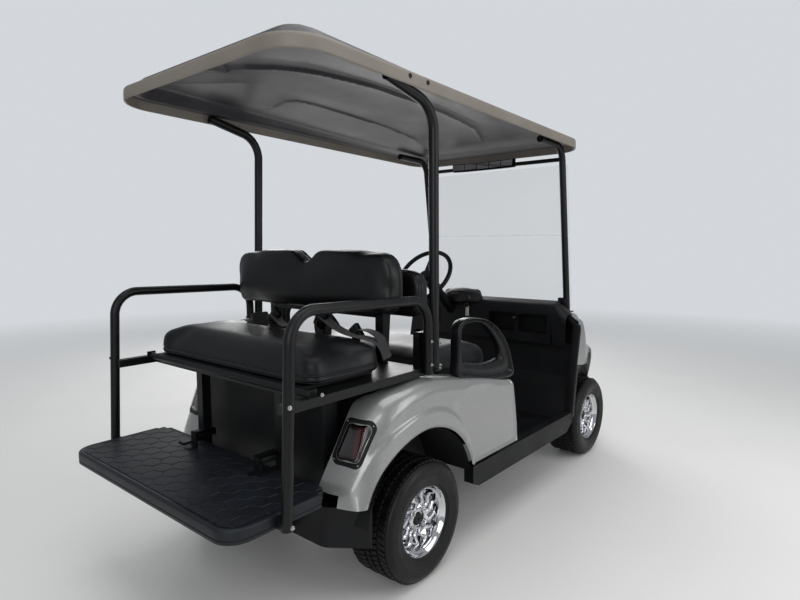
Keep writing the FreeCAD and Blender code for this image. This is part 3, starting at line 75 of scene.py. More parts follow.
def finished(name, colour, roughness, metallic=0.0, sockets=None, tones=None, shine=None, bumps=(),
             **patterns):
    # a material: named patterns on Object coordinates, sized in mm, drive its tones, shine and bumps
    material = bpy.data.materials.new(name)
    material.use_nodes = True
    tree = material.node_tree
    shader = tree.nodes["Principled BSDF"]
    basics = {"Base Color": linear(colour), "Roughness": roughness, "Metallic": metallic}
    for key, amount in {**basics, **(sockets or {})}.items():
        shader.inputs[key].default_value = amount
    place = addNode(tree, "TexCoord").outputs["Object"]
    found = {}
    for key, (kind, size, form) in patterns.items():
        values, settings, output = {"Scale": 1 / (size * mm)}, {}, form
        if kind == "TexNoise":
            values["Detail"], output = form, "Fac"
        elif kind == "TexWave":
            settings, output = {"wave_type": "BANDS", "bands_direction": form}, "Color"
        source = addNode(tree, kind, values, {"Vector": place}, **settings).outputs[output]
        ends = (0.3, 0.7)
        if output == "Color":
            source, ends = addNode(tree, "SeparateColor", links={"Color": source}).outputs["Red"], (0.0, 1.0)
        found[key] = source, ends
    if tones:
        source, ends = found[tones[0]]
        ramp = addNode(tree, "ValToRGB", links={"Fac": source})
        for stop, end, tone in zip(ramp.color_ramp.elements, ends, tones[1:]):
            stop.position, stop.color = end, linear(tone)
        tree.links.new(ramp.outputs["Color"], shader.inputs["Base Color"])
    if shine:
        source, ends = found[shine[0]]
        spread = addNode(tree, "MapRange", {"From Min": ends[0], "From Max": ends[1], "To Min": shine[1],
                                            "To Max": shine[2]}, {"Value": source})
        tree.links.new(spread.outputs["Result"], shader.inputs["Roughness"])
    under = {}
    for key, depth, strength in bumps:
        bump = addNode(tree, "Bump", {"Distance": depth * mm, "Strength": strength},
                       {"Height": found[key][0], **under})
        under = {"Normal": bump.outputs["Normal"]}
    if under:
        tree.links.new(under["Normal"], shader.inputs["Normal"])
    return material


# metallic silver base coat under clear coat on moulded panels: soft flake, sharp coat reflections
paint = finished("SilverBaseCoatClear", "8F9090", 0.34, 0.5,
                 {"Coat Weight": 1.0, "Coat Roughness": 0.04, "IOR": 1.5},
                 ("flake", "858686", "979896"), ("flake", 0.28, 0.42), [("ripple", 0.05, 0.25)],
                 flake=("TexVoronoi", 1.6, "Color"), ripple=("TexNoise", 9, 2.0))


def roofSheet(name, lowHex, highHex, shine=0.48):
    # thermoformed polyolefin sheet: even satin with a fine haircell grain
    return finished(name, lowHex, shine, 0.0, {"IOR": 1.49}, ("clouds", lowHex, highHex),
                    ("clouds", shine - 0.06, shine + 0.07), [("hair", 0.12, 0.35)],
                    hair=("TexVoronoi", 2.2, "Distance"), clouds=("TexNoise", 240, 2.0))


roofOuter = roofSheet("ThermoformedTanSheet", "756E66", "7F7870")
# the ceiling is the same tan sheet as the rim, coloured dark grey as painted shade
roofUnderShaded = roofSheet("ThermoformedSheetPaintedShade", "39373B", "434145", 0.36)
# the crown is the same tan sheet as the rim, coloured near black as painted shade
roofCrownShaded = roofSheet("ThermoformedCrownPaintedShade", "131217", "1B1A1F")
# black polyester powder on steel tube: slight orange peel, satin shine
powder = finished("BlackPowderCoatSteel", "08090A", 0.36, 0.0, {"IOR": 1.52, "Specular IOR Level": 0.26},
                  ("wear", "070809", "0E0F11"), ("wear", 0.3, 0.44), [("peel", 0.1, 0.5)],
                  peel=("TexNoise", 2.4, 2.0), wear=("TexNoise", 130, 4.0))


def moulded(name, lowHex, highHex, shine):
    # injection moulded plastic with spark-eroded texture: dry, finely pebbled
    return finished(name, lowHex, shine, 0.0, {"IOR": 1.49, "Specular IOR Level": 0.24},
                    ("clouds", lowHex, highHex), ("clouds", shine - 0.07, shine + 0.08),
                    [("pebbles", 0.18, 0.5)],
                    pebbles=("TexVoronoi", 1.8, "Distance"), clouds=("TexNoise", 160, 4.0))


plastic = moulded("TexturedBlackPolypropylene", "090A0C", "111215", 0.5)
glossPlastic = moulded("SmoothBlackAbs", "0A0A0C", "101114", 0.25)
matPlastic = moulded("BlackRubberTread", "14161B", "1F2329", 0.42)
# black marine vinyl: pebbled leather grain, soft sheen where it is pulled tight
vinyl = finished("BlackMarineVinyl", "08090B", 0.38, 0.0, {"IOR": 1.5, "Specular IOR Level": 0.3},
                 ("rubbed", "08090B", "0E0F12"), ("rubbed", 0.33, 0.46),
                 [("cells", 0.35, 0.5), ("folds", 0.4, 0.35)], cells=("TexVoronoi", 3.2, "Distance"),
                 folds=("TexNoise", 26, 5.0), rubbed=("TexNoise", 190, 3.0))
# cured tread rubber: dark, with dusty raised parts
rubber = finished("CuredTyreRubber", "08080A", 0.45, 0.0, {"IOR": 1.52, "Specular IOR Level": 0.25},
                  ("dust", "070708", "100F10"), ("dust", 0.36, 0.56), [("grit", 0.25, 0.5)],
                  dust=("TexNoise", 38, 5.0), grit=("TexNoise", 2.5, 3.0))
# chrome on cast aluminium: mirror bright with faint casting waves
chrome = finished("ChromedCastAluminium", "D4D5D8", 0.07, 1.0, None, None, ("waves", 0.04, 0.12),
                  [("waves", 0.08, 0.3)], waves=("TexNoise", 14, 2.0))
# sand-cast and machined iron, oily grey
iron = finished("OiledCastIron", "3A3B3D", 0.5, 0.85, None, ("pits", "2C2D2F", "4A4B4D"),
                ("pits", 0.4, 0.65), [("pits", 0.3, 0.6)], pits=("TexNoise", 3.0, 5.0))
# zinc-plated steel fasteners: dull bright
zinc = finished("ZincPlatedSteel", "B9BAB8", 0.32, 1.0, shine=("clouds", 0.25, 0.45),
                clouds=("TexNoise", 6, 3.0))
# cast acrylic screen: almost clear
acrylic = finished("CastAcrylicSheet", "F2F5F5", 0.03, 0.0, {"IOR": 1.49, "Alpha": 0.1},
                   shine=("clouds", 0.02, 0.06), clouds=("TexNoise", 210, 3.0))


def lensPlastic(name, lowHex, highHex):
    # moulded lamp lens with vertical prism flutes about 5 mm wide
    return finished(name, lowHex, 0.12, 0.0, {"IOR": 1.49, "Coat Weight": 1.0, "Coat Roughness": 0.02,
                                              "Specular IOR Level": 0.6},
                    ("flutes", lowHex, highHex), None, [("flutes", 0.8, 0.5)], flutes=("TexWave", 15, "Z"))


redLens = lensPlastic("RedPrismLens", "1C0205", "3E070D")
smokedLens = lensPlastic("SmokedRedLens", "050203", "0A0405")
clearLens = lensPlastic("ClearPrismLens", "B9BFC4", "E4E8EA")
# silvered mirror panels
mirrorFace = finished("SilveredMirror", "E6E8EA", 0.02, 1.0, shine=("clouds", 0.015, 0.04),
                      clouds=("TexNoise", 60, 2.0))
# woven polyester belt: fine diagonal weave about 2 mm across
webbing = finished("WovenPolyesterBelt", "141416", 0.62, 0.0, {"Sheen Weight": 0.3, "Sheen Roughness": 0.4},
                   ("weave", "0F0F11", "222226"), None, [("weave", 0.4, 0.6)],
                   weave=("TexWave", 6, "DIAGONAL"))
paleAbs = moulded("PaleGreyAbs", "A9A79F", "BDBBB3", 0.4)
print("materials made")

# The finish of each node that stays as the CAD made it
nodeFinish = [
    (paint, "quarter_left quarter_right front_cowl"), (roofOuter, "roof"), (matPlastic, "footrest"),
    (plastic, "floor_pan rocker_strips seat_box bag_well rear_bumper front_bumper dash pedals"),
    (plastic, "steering_column steering_wheel flip_deck front_seat_board battery_pack"),
    (glossPlastic, "hip_restraints mirror"), (iron, "drive_axle tie_rod"),
    (powder, "chassis_frame rear_strut_left rear_strut_right screen_frame rear_seat_frame"),
    (powder, "grab_rail_left grab_rail_right backrest_frame rear_springs strut_brackets front_axle"),
    (powder, "knuckle_left knuckle_right"),
    (vinyl, "rear_cushion front_cushion rear_backrest front_backrest"),
    (rubber, "tyre_rl tyre_rr tyre_fl tyre_fr"), (chrome, "wheel_rl wheel_rr wheel_fl wheel_fr"),
    (acrylic, "screen_panes"), (redLens, "tail_lamps"), (clearLens, "head_lamps"),
]
for finish, names in nodeFinish:
    for nodeName in names.split():
        slots = nodes[nodeName].data.materials
        slots.clear()
        slots.append(finish)
print("nodes dressed")


def meshOf(bm, name="part"):
    # a mesh from working geometry, which it frees
    mesh = bpy.data.meshes.new(name)
    bm.to_mesh(mesh)
    bm.free()
    return mesh


def linked(name, data):
    made = bpy.data.objects.new(name, data)
    bpy.context.scene.collection.objects.link(made)
    return made


def settled(thing):
    # the mesh that a piece's modifiers leave
    bpy.context.view_layer.update()
    found = bpy.data.meshes.new_from_object(thing.evaluated_get(bpy.context.evaluated_depsgraph_get()))
    thing.modifiers.clear()
    return found


def walled(bm, thickness):
    # a skin given a wall behind it
    work = linked("work", meshOf(bm))
    wall = work.modifiers.new("wall", "SOLIDIFY")
    wall.thickness = thickness * mm
    wall.offset = -1
    mesh = settled(work)
    bpy.data.objects.remove(work)
    return mesh


def skinOf(mesh):
    # a mesh that rays can be cast onto
    return BVHTree.FromPolygons([v.co for v in mesh.vertices], [f.vertices for f in mesh.polygons])


def sideName(side):
    return "Left" if side > 0 else "Right"


def piece(name, mesh, finish=plastic, body="root", angle=40):
    # a finished piece: a mesh in place, at the origin, that rides on a body
    if isinstance(mesh, bmesh.types.BMesh):
        mesh = meshOf(mesh, name)
    mesh.materials.clear()
    mesh.materials.append(finish)
    mesh.shade_smooth()
    mesh.set_sharp_from_angle(angle=math.radians(angle))
    made = linked(name, mesh)
    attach(made, body)
    return made


def rod(sides, wide, narrow, depth, turn, spot):
    # a short tapered rod of so many sides, turned and put in place
    bm = bmesh.new()
    bmesh.ops.create_cone(bm, cap_ends=True, segments=sides, radius1=wide * mm, radius2=narrow * mm,
                          depth=depth * mm)
    bmesh.ops.rotate(bm, verts=bm.verts, cent=(0, 0, 0), matrix=turn)
    bmesh.ops.translate(bm, vec=spot, verts=bm.verts)
    return bm


def block(size, edge, segments, spot, tilt=0):
    # a box with bevelled edges, tilted about the cart's length
    bm = bmesh.new()
    bmesh.ops.create_cube(bm, size=1)
    bmesh.ops.scale(bm, vec=Vector(size) * mm, verts=bm.verts)
    bmesh.ops.bevel(bm, geom=bm.edges[:], offset=edge * mm, segments=segments, profile=0.5, affect="EDGES",
                    material=-1)
    bmesh.ops.rotate(bm, verts=bm.verts, cent=(0, 0, 0), matrix=Matrix.Rotation(math.radians(tilt), 3, "X"))
    bmesh.ops.translate(bm, vec=spot, verts=bm.verts)
    return bm


# Camera at the photograph's own place, fitted to the cart's sizes; floor and soft studio light
camera = {"x": -1624, "y": -1815, "z": 1259, "yaw": 39.88, "pitch": -5.57, "roll": -0.16, "lens": 25.69}
lens = bpy.data.cameras.new("camera")
lens.lens = camera["lens"]
lens.sensor_width = 36
eye = linked("camera", lens)
look = (Matrix.Rotation(math.radians(camera["yaw"] - 90), 4, "Z")
        @ Matrix.Rotation(math.radians(90 + camera["pitch"]), 4, "X")
        @ Matrix.Rotation(math.radians(camera["roll"]), 4, "Z"))
eye.matrix_world = Matrix.Translation(at(camera["x"], camera["y"], camera["z"])) @ look
bpy.context.scene.camera = eye

floorFinish = finished("PaleFloor", "E6E5E3", 0.45, shine=("clouds", 0.35, 0.5),
                       clouds=("TexNoise", 400, 3.0))
floorTree = floorFinish.node_tree
backdrop = "D3D7DB"
# far from the cart the camera sees the floor run into the backdrop
place = addNode(floorTree, "VectorMath", {1: (1, 1, 0)},
                {0: addNode(floorTree, "TexCoord").outputs["Object"]}, operation="MULTIPLY")
reach = addNode(floorTree, "VectorMath", links={0: place.outputs["Vector"]}, operation="LENGTH")
farOff = addNode(floorTree, "MapRange", {"From Min": 3.2, "From Max": 9.0},
                 {"Value": reach.outputs["Value"]})
seenFar = addNode(floorTree, "Math", operation="MULTIPLY", links={
    0: farOff.outputs["Result"], 1: addNode(floorTree, "LightPath").outputs["Is Camera Ray"]})
glow = addNode(floorTree, "Emission", {"Color": linear(backdrop), "Strength": 1.0})
joined = addNode(floorTree, "MixShader", links={
    0: seenFar.outputs["Value"], 1: floorTree.nodes["Principled BSDF"].outputs["BSDF"],
    2: glow.outputs["Emission"]})
floorTree.links.new(joined.outputs["Shader"], floorTree.nodes["Material Output"].inputs["Surface"])
floorMesh = bmesh.new()
bmesh.ops.create_grid(floorMesh, x_segments=1, y_segments=1, size=30)
floor = linked("floor", meshOf(floorMesh, "floor"))
floor.data.materials.append(floorFinish)

world = bpy.data.worlds.new("studio")
bpy.context.scene.world = world
world.use_nodes = True
worldTree = world.node_tree
back = worldTree.nodes["Background"]
back.inputs["Color"].default_value = linear("E8ECF0")
back.inputs["Strength"].default_value = 0.44
# the backdrop that the camera sees stays paler than the light it gives
seen = addNode(worldTree, "Background", {"Color": linear(backdrop), "Strength": 1.0})
either = addNode(worldTree, "MixShader", links={
    0: addNode(worldTree, "LightPath").outputs["Is Camera Ray"], 1: back.outputs["Background"],
    2: seen.outputs["Background"]})
worldTree.links.new(either.outputs["Shader"], worldTree.nodes["World Output"].inputs["Surface"])
lamps = [
    # name, place, aim, size in metres, watts
    ("overhead", (300, -600, 4200), (300, 0, 600), 4.0, 95),
    ("behind", (-3800, -2600, 2400), (0, 0, 700), 2.6, 60),
    ("right", (1500, -4200, 2000), (600, 0, 700), 2.6, 50),
    ("window", (3800, 3600, 2600), (500, 0, 900), 3.4, 130),
]
for name, place, aim, size, watts in lamps:
    light = bpy.data.lights.new(name, "AREA")
    light.energy = watts
    light.size = size
    lampObject = linked(name, light)
    turn = (at(*place) - at(*aim)).to_track_quat("Z", "Y").to_matrix().to_4x4()
    lampObject.matrix_world = Matrix.Translation(at(*place)) @ turn
    lampObject.visible_camera = False
bpy.context.scene.view_settings.view_transform = "Standard"
print("stage set")


def evenLoop(points, count):
    # a smooth closed line through points, evenly spaced
    dense = []
    total = len(points)
    for i in range(total):
        a, b, c, d = (Vector(points[(i + k - 1) % total]) for k in range(4))
        for k in range(10):
            t = k / 10
            dense.append(0.5 * (2 * b + (c - a) * t + (2 * a - 5 * b + 4 * c - d) * t * t
                                + (3 * b - a - 3 * c + d) * t ** 3))
    lengths = [0.0]
    for near, far in zip(dense, dense[1:] + dense[:1]):
        lengths.append(lengths[-1] + (far - near).length)
    found = []
    i = 0
    for k in range(count):
        goal = lengths[-1] * k / count
        while lengths[i + 1] < goal:
            i += 1
        share = (goal - lengths[i]) / (lengths[i + 1] - lengths[i])
        found.append(dense[i].lerp(dense[(i + 1) % len(dense)], share))
    return found


def copyOf(node):
    # a node's mesh with its loose triangles joined
    bm = bmesh.new()
    bm.from_mesh(nodes[node].data)
    bmesh.ops.remove_doubles(bm, verts=bm.verts, dist=0.02 * mm)
    return bm


clothSettings = {
    "quality": 4, "mass": 0.4, "tension_stiffness": 15, "compression_stiffness": 15, "bending_stiffness": 2,
    "use_pressure": True, "uniform_pressure_force": 4, "vertex_group_mass": "pins",
}


def stuffed(node, middle, held, pad):
    # a foam pad: voxel skin, rounded edges, then blown up as cloth with its carried side pinned
    shrunk = copyOf(node)
    bmesh.ops.scale(shrunk, vec=pad["start"], verts=shrunk.verts, space=Matrix.Translation(-middle))
    work = linked("work", meshOf(shrunk))
    skin = work.modifiers.new("skin", "REMESH")
    skin.mode = "VOXEL"
    skin.voxel_size = pad["voxel"] * mm
    soften = work.modifiers.new("soften", "SMOOTH")
    soften.factor = 0.5
    soften.iterations = pad["rounding"]
    work.data = settled(work)
    start = [v.co.copy() for v in work.data.vertices]
    pins = work.vertex_groups.new(name="pins")
    pins.add([i for i, spot in enumerate(start) if held(spot)], 1.0, "REPLACE")
    cloth = work.modifiers.new("cloth", "CLOTH")
    for key, amount in clothSettings.items():
        setattr(cloth.settings, key, amount)
    cloth.settings.effector_weights.gravity = 0
    cloth.point_cache.frame_start, cloth.point_cache.frame_end = 1, 20
    for count in range(1, 21):
        bpy.context.scene.frame_set(count)
    work.data = settled(work)
    bpy.context.scene.frame_set(1)
    # the swelling is capped and evened out, so that the cover stays taut
    for vertex, spot in zip(work.data.vertices, start):
        moved = vertex.co - spot
        if moved.length > pad["swell"] * mm:
            moved.length = pad["swell"] * mm
        vertex.co = moved
    even = work.modifiers.new("even", "SMOOTH")
    even.factor = 0.5
    even.iterations = 60
    work.data = settled(work)
    for vertex, spot in zip(work.data.vertices, start):
        vertex.co += spot
    mesh = work.data
    bpy.data.objects.remove(work)
    return mesh


def finer(mesh):
    # one smooth subdivision of a simulated mesh
    bm = bmesh.new()
    bm.from_mesh(mesh)
    bmesh.ops.subdivide_edges(bm, edges=bm.edges, cuts=1, use_grid_fill=True, smooth=0.6)
    bmesh.ops.smooth_vert(bm, verts=bm.verts, factor=0.5, use_axis_x=True, use_axis_y=True, use_axis_z=True)
    bm.to_mesh(mesh)
    bm.free()
    return mesh


def creased(mesh, axis, place, depth, width):
    # presses a soft groove into a mesh where it crosses a place on an axis
    for vertex, normal in zip(mesh.vertices, [v.normal.copy() for v in mesh.vertices]):
        away = (vertex.co[axis] - place) / (width * mm)
        vertex.co -= normal * depth * mm * math.exp(-away * away)


def tube(points, radius):
    # the mesh of a smooth closed tube through points
    curve = bpy.data.curves.new("tube", "CURVE")
    curve.dimensions = "3D"
    curve.bevel_depth = radius * mm
    curve.bevel_resolution = 2
    line = curve.splines.new("NURBS")
    line.points.add(len(points) - 1)
    for spot, place in zip(line.points, points):
        spot.co = (*place, 1)
    line.order_u = 3
    line.use_cyclic_u = True
    line.resolution_u = 3
    work = linked("work", curve)
    mesh = settled(work)
    bpy.data.objects.remove(work)
    return mesh


def makeWelt(name, mesh, body):
    # piping round a pad, laid on its skin at two heights
    skin, reach = skinOf(mesh), 0.12
    low = [min(v.co[k] for v in mesh.vertices) for k in range(3)]
    high = [max(v.co[k] for v in mesh.vertices) for k in range(3)]
    middle = (low[0] + high[0]) / 2
    path = [(low[0], low[1]), (low[0], 0), (low[0], high[1]), (middle, high[1]),
            (high[0], high[1]), (high[0], 0), (high[0], low[1]), (middle, low[1])]
    made = bmesh.new()
    for height in (8, 30):
        line = []
        for x, y in evenLoop(path, 96):
            inner = Vector((min(max(x, low[0] + reach), high[0] - reach),
                            min(max(y, low[1] + reach), high[1] - reach), 0))
            outer = inner + (Vector((x, y, 0)) - inner).normalized() * 0.25
            start = Vector((outer.x, outer.y, low[2] + height * mm))
            hit = skin.ray_cast(start, (inner - outer).normalized(), 0.3)
            if hit[0] is not None:
                line.append(hit[0] + hit[1] * 0.6 * mm)
        made.from_mesh(tube(line, 3.2))
    piece(name, made, vinyl, body, angle=80)


pads = {
    # start: how much smaller than its space a pad begins, along X, Y and Z. face: the backrest's side that
    # its shell carries, 1 for the front and -1 for the rear. seam: height of a cushion's upper seam
    "rear_cushion": {"body": "rear_seat", "start": (0.975, 1.065, 0.9), "voxel": 8, "rounding": 26,
                     "swell": 24, "seam": 26},
    "front_cushion": {"body": "front_seat", "start": (0.965, 0.985, 0.87), "voxel": 9, "rounding": 22,
                      "swell": 24, "seam": 26},
    "rear_backrest": {"body": "root", "face": 1, "start": (0.86, 0.995, 1.19), "voxel": 8, "rounding": 34,
                      "swell": 22, "shift": (0, 0, -2)},
    "front_backrest": {"body": "root", "face": -1, "start": (0.84, 0.975, 0.95), "voxel": 9, "rounding": 40,
                       "swell": 22, "shift": (12, 0, -50)},
}
for nodeName, pad in pads.items():
    low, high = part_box(nodeName)
    name = nodeName.replace("_c", "C").replace("_b", "B")
    middle = (low + high) / 2
    if "seam" in pad:
        middle.z = low.z
        ground = low.z + 8 * mm
        mesh = finer(stuffed(nodeName, middle, lambda spot: spot.z < ground, pad))
        creased(mesh, 2, low.z + pad["seam"] * mm, 4, 4.5)
        creased(mesh, 2, low.z + 6 * mm, 3, 4)
    else:
        carried = middle.x = high.x if pad["face"] > 0 else low.x
        mesh = finer(stuffed(nodeName, middle, lambda spot: abs(spot.x - carried) < 12 * mm, pad))
        creased(mesh, 0, carried - pad["face"] * 20 * mm, 4, 4.5)
        mesh.transform(Matrix.Translation(Vector(pad["shift"]) * mm))
    made = piece(name + "Pad", mesh, vinyl, pad["body"], angle=80)
    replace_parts(made, nodeName)
    if "seam" in pad:
        makeWelt(name + "Welt", mesh, pad["body"])
print("cushions and backrests stuffed")


def ringOf(profile, middle, steps):
    # a shape turned about the wheel's axle, from a profile of (outward, radius)
    centre, side = middle
    bm = bmesh.new()
    row = [bm.verts.new(centre + Vector((0, side * out * mm, radius * mm))) for out, radius in profile]
    edges = [bm.edges.new(pair) for pair in zip(row, row[1:])]
    bmesh.ops.spin(bm, geom=row + edges, cent=centre, axis=(0, 1, 0), angle=math.tau, steps=steps,
                   use_merge=True)
    bmesh.ops.remove_doubles(bm, verts=bm.verts, dist=0.05 * mm)
    bmesh.ops.recalc_face_normals(bm, faces=bm.faces)
    return bm


def around(bm, one, middle, count, start=0.0):
    # repeats a small mesh about the axle
    centre, side = middle
    for number in range(count):
        turn = Matrix.Translation(centre) @ Matrix.Rotation(start + math.tau * number / count, 4, "Y") \
            @ Matrix.Translation(-centre)
        before = set(bm.verts)
        bm.from_mesh(one)
        bmesh.ops.transform(bm, matrix=turn, verts=[v for v in bm.verts if v not in before])
    return bm


tread = {"radius": 229, "half": 84, "groove": 7, "blocks": 62, "gap": 5.5}
sidewall = [
    # outward from the tyre's middle, radius
    (82, 127.5), (88, 132), (92, 139), (93, 142), (95.5, 143), (97, 148), (98.5, 158), (101.5, 172),
    (102.2, 176), (101, 178), (101.6, 180), (102.2, 186), (101, 190), (101.4, 193), (99, 203), (95, 212),
    (88, 219.5),
]
ribs = [
    # edges of the tread's ribs, outward
    (-80, -52), (-44, -18), (-10, 10), (18, 44), (52, 80),
]


def makeTyre(corner, body, middle):
    centre, side = middle
    base = tread["radius"] - tread["groove"]
    profile = [(-out, radius) for out, radius in sidewall]
    profile += [(-tread["half"] + 2, base), (0, base + 1), (tread["half"] - 2, base)]
    profile += [(out, radius) for out, radius in reversed(sidewall)]
    profile += [(60, 127.5), (-60, 127.5), (-82, 127.5)]
    bm = ringOf(profile, middle, 96)
    for number, (near, far) in enumerate(ribs):
        lug = bmesh.new()
        outer = number in (0, len(ribs) - 1)
        arc = math.tau / tread["blocks"] * (tread["radius"] - 4) - tread["gap"]
        bmesh.ops.create_cube(lug, size=1)
        bmesh.ops.scale(lug, vec=(arc * mm, (far - near) * mm, 11 * mm), verts=lug.verts)
        bmesh.ops.bevel(lug, geom=[e for e in lug.edges if e.verts[0].co.z > 0 and e.verts[1].co.z > 0],
                        offset=1.4 * mm, segments=1, profile=0.5, affect="EDGES", material=-1)
        # each rib's blocks lean, so that their edges make a zigzag
        lean = (-1) ** number * 0.22
        for v in lug.verts:
            v.co.x += v.co.y * lean
            if outer and abs(v.co.y) > (far - near) * 0.4 * mm and v.co.y * (near + far) > 0:
                v.co.z -= 3.2 * mm
        lift = tread["radius"] - 5.5 - (0.6 if outer else 0)
        bmesh.ops.translate(lug, vec=centre + Vector((0, side * (near + far) / 2 * mm, lift * mm)),
                            verts=lug.verts)
        around(bm, meshOf(lug), middle, tread["blocks"], math.tau / tread["blocks"] * 0.5 * (number % 2))
    made = piece("tyre" + corner, bm, rubber, body, angle=30)
    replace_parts(made, "tyre_" + corner.lower())


rim = {"spokes": 12, "swirl": 26, "bend": 13, "hub": 34, "rootWidth": 11, "tipWidth": 17, "thick": 20}


def makeWheel(corner, body, middle):
    centre, side = middle
    # barrel with rolled lips, seen from both sides
    bm = ringOf([
        (-60, 108), (-72, 112), (-84, 120), (-88, 133), (-86, 139.5), (-82, 140), (-80, 134), (-78, 127),
        (-40, 124), (0, 120), (40, 124), (78, 127), (80, 134), (82, 140), (86, 139.5), (88.5, 136),
        (87, 131), (82, 127), (76, 124.5), (70, 121), (66, 116), (40, 114), (0, 112), (-60, 108),
    ], middle, 96)
    # spokes twist from the hub to the rim in an S
    for number in range(rim["spokes"]):
        spoke = bmesh.new()
        sections = []
        steps = 12
        for i in range(steps + 1):
            t = i / steps
            radius = rim["hub"] + (118 - rim["hub"]) * t
            swirl = math.radians(rim["swirl"] * t + rim["bend"] * math.sin(math.tau * t))
            angle = math.tau * number / rim["spokes"] - side * swirl
            width = rim["rootWidth"] + (rim["tipWidth"] - rim["rootWidth"]) * t
            out = 48 + 13 * math.sin(t * math.pi * 0.85) + 3 * t
            across = Vector((math.cos(angle), 0, -math.sin(angle)))
            spot = centre + Vector((math.sin(angle), 0, math.cos(angle))) * radius * mm
            half, back = width / 2, out - rim["thick"]
            loop = [(-half - 1, back), (-half, out - 4), (-half + 3, out), (half - 3, out + 0.5),
                    (half, out - 4), (half + 1, back)]
            sections.append([spoke.verts.new(spot + across * u * mm + Vector((0, side * w * mm, 0)))
                             for u, w in loop])
        for near, far in zip(sections, sections[1:]):
            edges = [spoke.edges.get((a, b)) or spoke.edges.new((a, b)) for row in (near, far)
                     for a, b in zip(row, row[1:] + row[:1])]
            bmesh.ops.bridge_loops(spoke, edges=edges)
        bmesh.ops.recalc_face_normals(spoke, faces=spoke.faces)
        bm.from_mesh(meshOf(spoke))
    # dished disc behind the spokes, with a rolled edge
    dish = ringOf([(22, 40), (20, 60), (24, 82), (32, 100), (40, 112), (38, 112.5), (28, 98), (18, 80),
                   (16, 60), (17, 40), (22, 40)], middle, 64)
    bm.from_mesh(meshOf(dish))
    # hub boss with a shallow dished face
    hub = ringOf([(-8, 18.1), (-8, 44), (30, 46), (48, 43), (54, 38), (55, 32), (50, 30), (49, 0.5)],
                 middle, 48)
    bm.from_mesh(meshOf(hub))
    made = piece("wheel" + corner, bm, chrome, body, angle=28)
    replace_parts(made, "wheel_" + corner.lower())
    cap = ringOf([(49.2, 0.5), (56, 6), (57.5, 16), (56, 22), (50.5, 25), (49.2, 26)], middle, 40)
    piece("hubCap" + corner, cap, glossPlastic, body)
    nut = rod(6, 8, 6.5, 12, Matrix.Rotation(-side * math.pi / 2, 3, "X"),
              centre + Vector((0, side * 52 * mm, 37 * mm)))
    nuts = around(bmesh.new(), meshOf(nut), middle, 4, math.pi / 4)
    piece("wheelNuts" + corner, nuts, zinc, body, angle=25)


wheelRows = [
    # corner, body, side
    ("Rl", "rear_wheel_left", 1), ("Rr", "rear_wheel_right", -1),
    ("Fl", "front_wheel_left", 1), ("Fr", "front_wheel_right", -1),
]
for corner, body, side in wheelRows:
    low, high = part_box("tyre_" + corner.lower())
    middle = ((low + high) / 2, side)
    makeTyre(corner, body, middle)
    makeWheel(corner, body, middle)
print("wheels and tyres made")


def eased(rows, x):
    # the row at x between a table's rows, on a curve that doesn't overshoot them
    i = max(0, min(len(rows) - 2, sum(row[0] <= x for row in rows) - 1))
    width = rows[i + 1][0] - rows[i][0]
    t = (x - rows[i][0]) / width
    found = []
    for k in range(1, len(rows[0])):
        steps = [(b[k] - a[k]) / (b[0] - a[0]) for a, b in zip(rows, rows[1:])]
        bends = [2 * a * b / (a + b) if a * b > 0 else 0.0 for a, b in zip(steps, steps[1:])]
        slopes = [steps[0]] + bends + [steps[-1]]
        near, far = rows[i][k], rows[i + 1][k]
        found.append(near * (1 + 2 * t) * (1 - t) ** 2 + far * t * t * (3 - 2 * t)
                     + width * (slopes[i] * t * (1 - t) ** 2 - slopes[i + 1] * t * t * (1 - t)))
    return found


def step(value, low, high):
    # nought below low, one above high, eased between
    t = min(1.0, max(0.0, (value - low) / (high - low)))
    return t * t * (3 - 2 * t)


def skinned(rows, closed=False, ring=False):
    # a skin over rows of points, with as many points in each
    bm = bmesh.new()
    lines = []
    for row in rows:
        verts = [bm.verts.new(spot) for spot in row]
        pairs = list(zip(verts, verts[1:] + verts[:1])) if closed else list(zip(verts, verts[1:]))
        lines.append([bm.edges.new(pair) for pair in pairs])
    for near, far in zip(lines, lines[1:]):
        bmesh.ops.bridge_loops(bm, edges=near + far)
    if ring:
        bmesh.ops.bridge_loops(bm, edges=lines[-1] + lines[0])
    bmesh.ops.recalc_face_normals(bm, faces=bm.faces)
    return bm


quarterShape = {
    "archRadius": 322, "archHeight": 262, "sill": 357, "tailSill": 385, "front": 697, "lean": 54,
    "column": 7, "lip": 10, "recess": 9, "wall": 5, "inner": 480, "tailFoot": 389, "tailHead": 432,
    "tailStep": 425, "stepHalf": 484,
}
quarterRows = [
    # along, half width at the sill, half width at the shoulder, shoulder height, roll
    (-372, 466, 449, 402, 22),
    (-330, 560, 497, 492, 88),
    (-233, 585, 541, 701, 118),
    (-180, 586, 566, 735, 95),
    (-100, 586, 583, 750, 66),
    (35, 586, 586, 762, 56),
    (250, 586, 586, 731, 50),
    (480, 586, 586, 688, 38),
    (697, 586, 586, 649, 26),
]


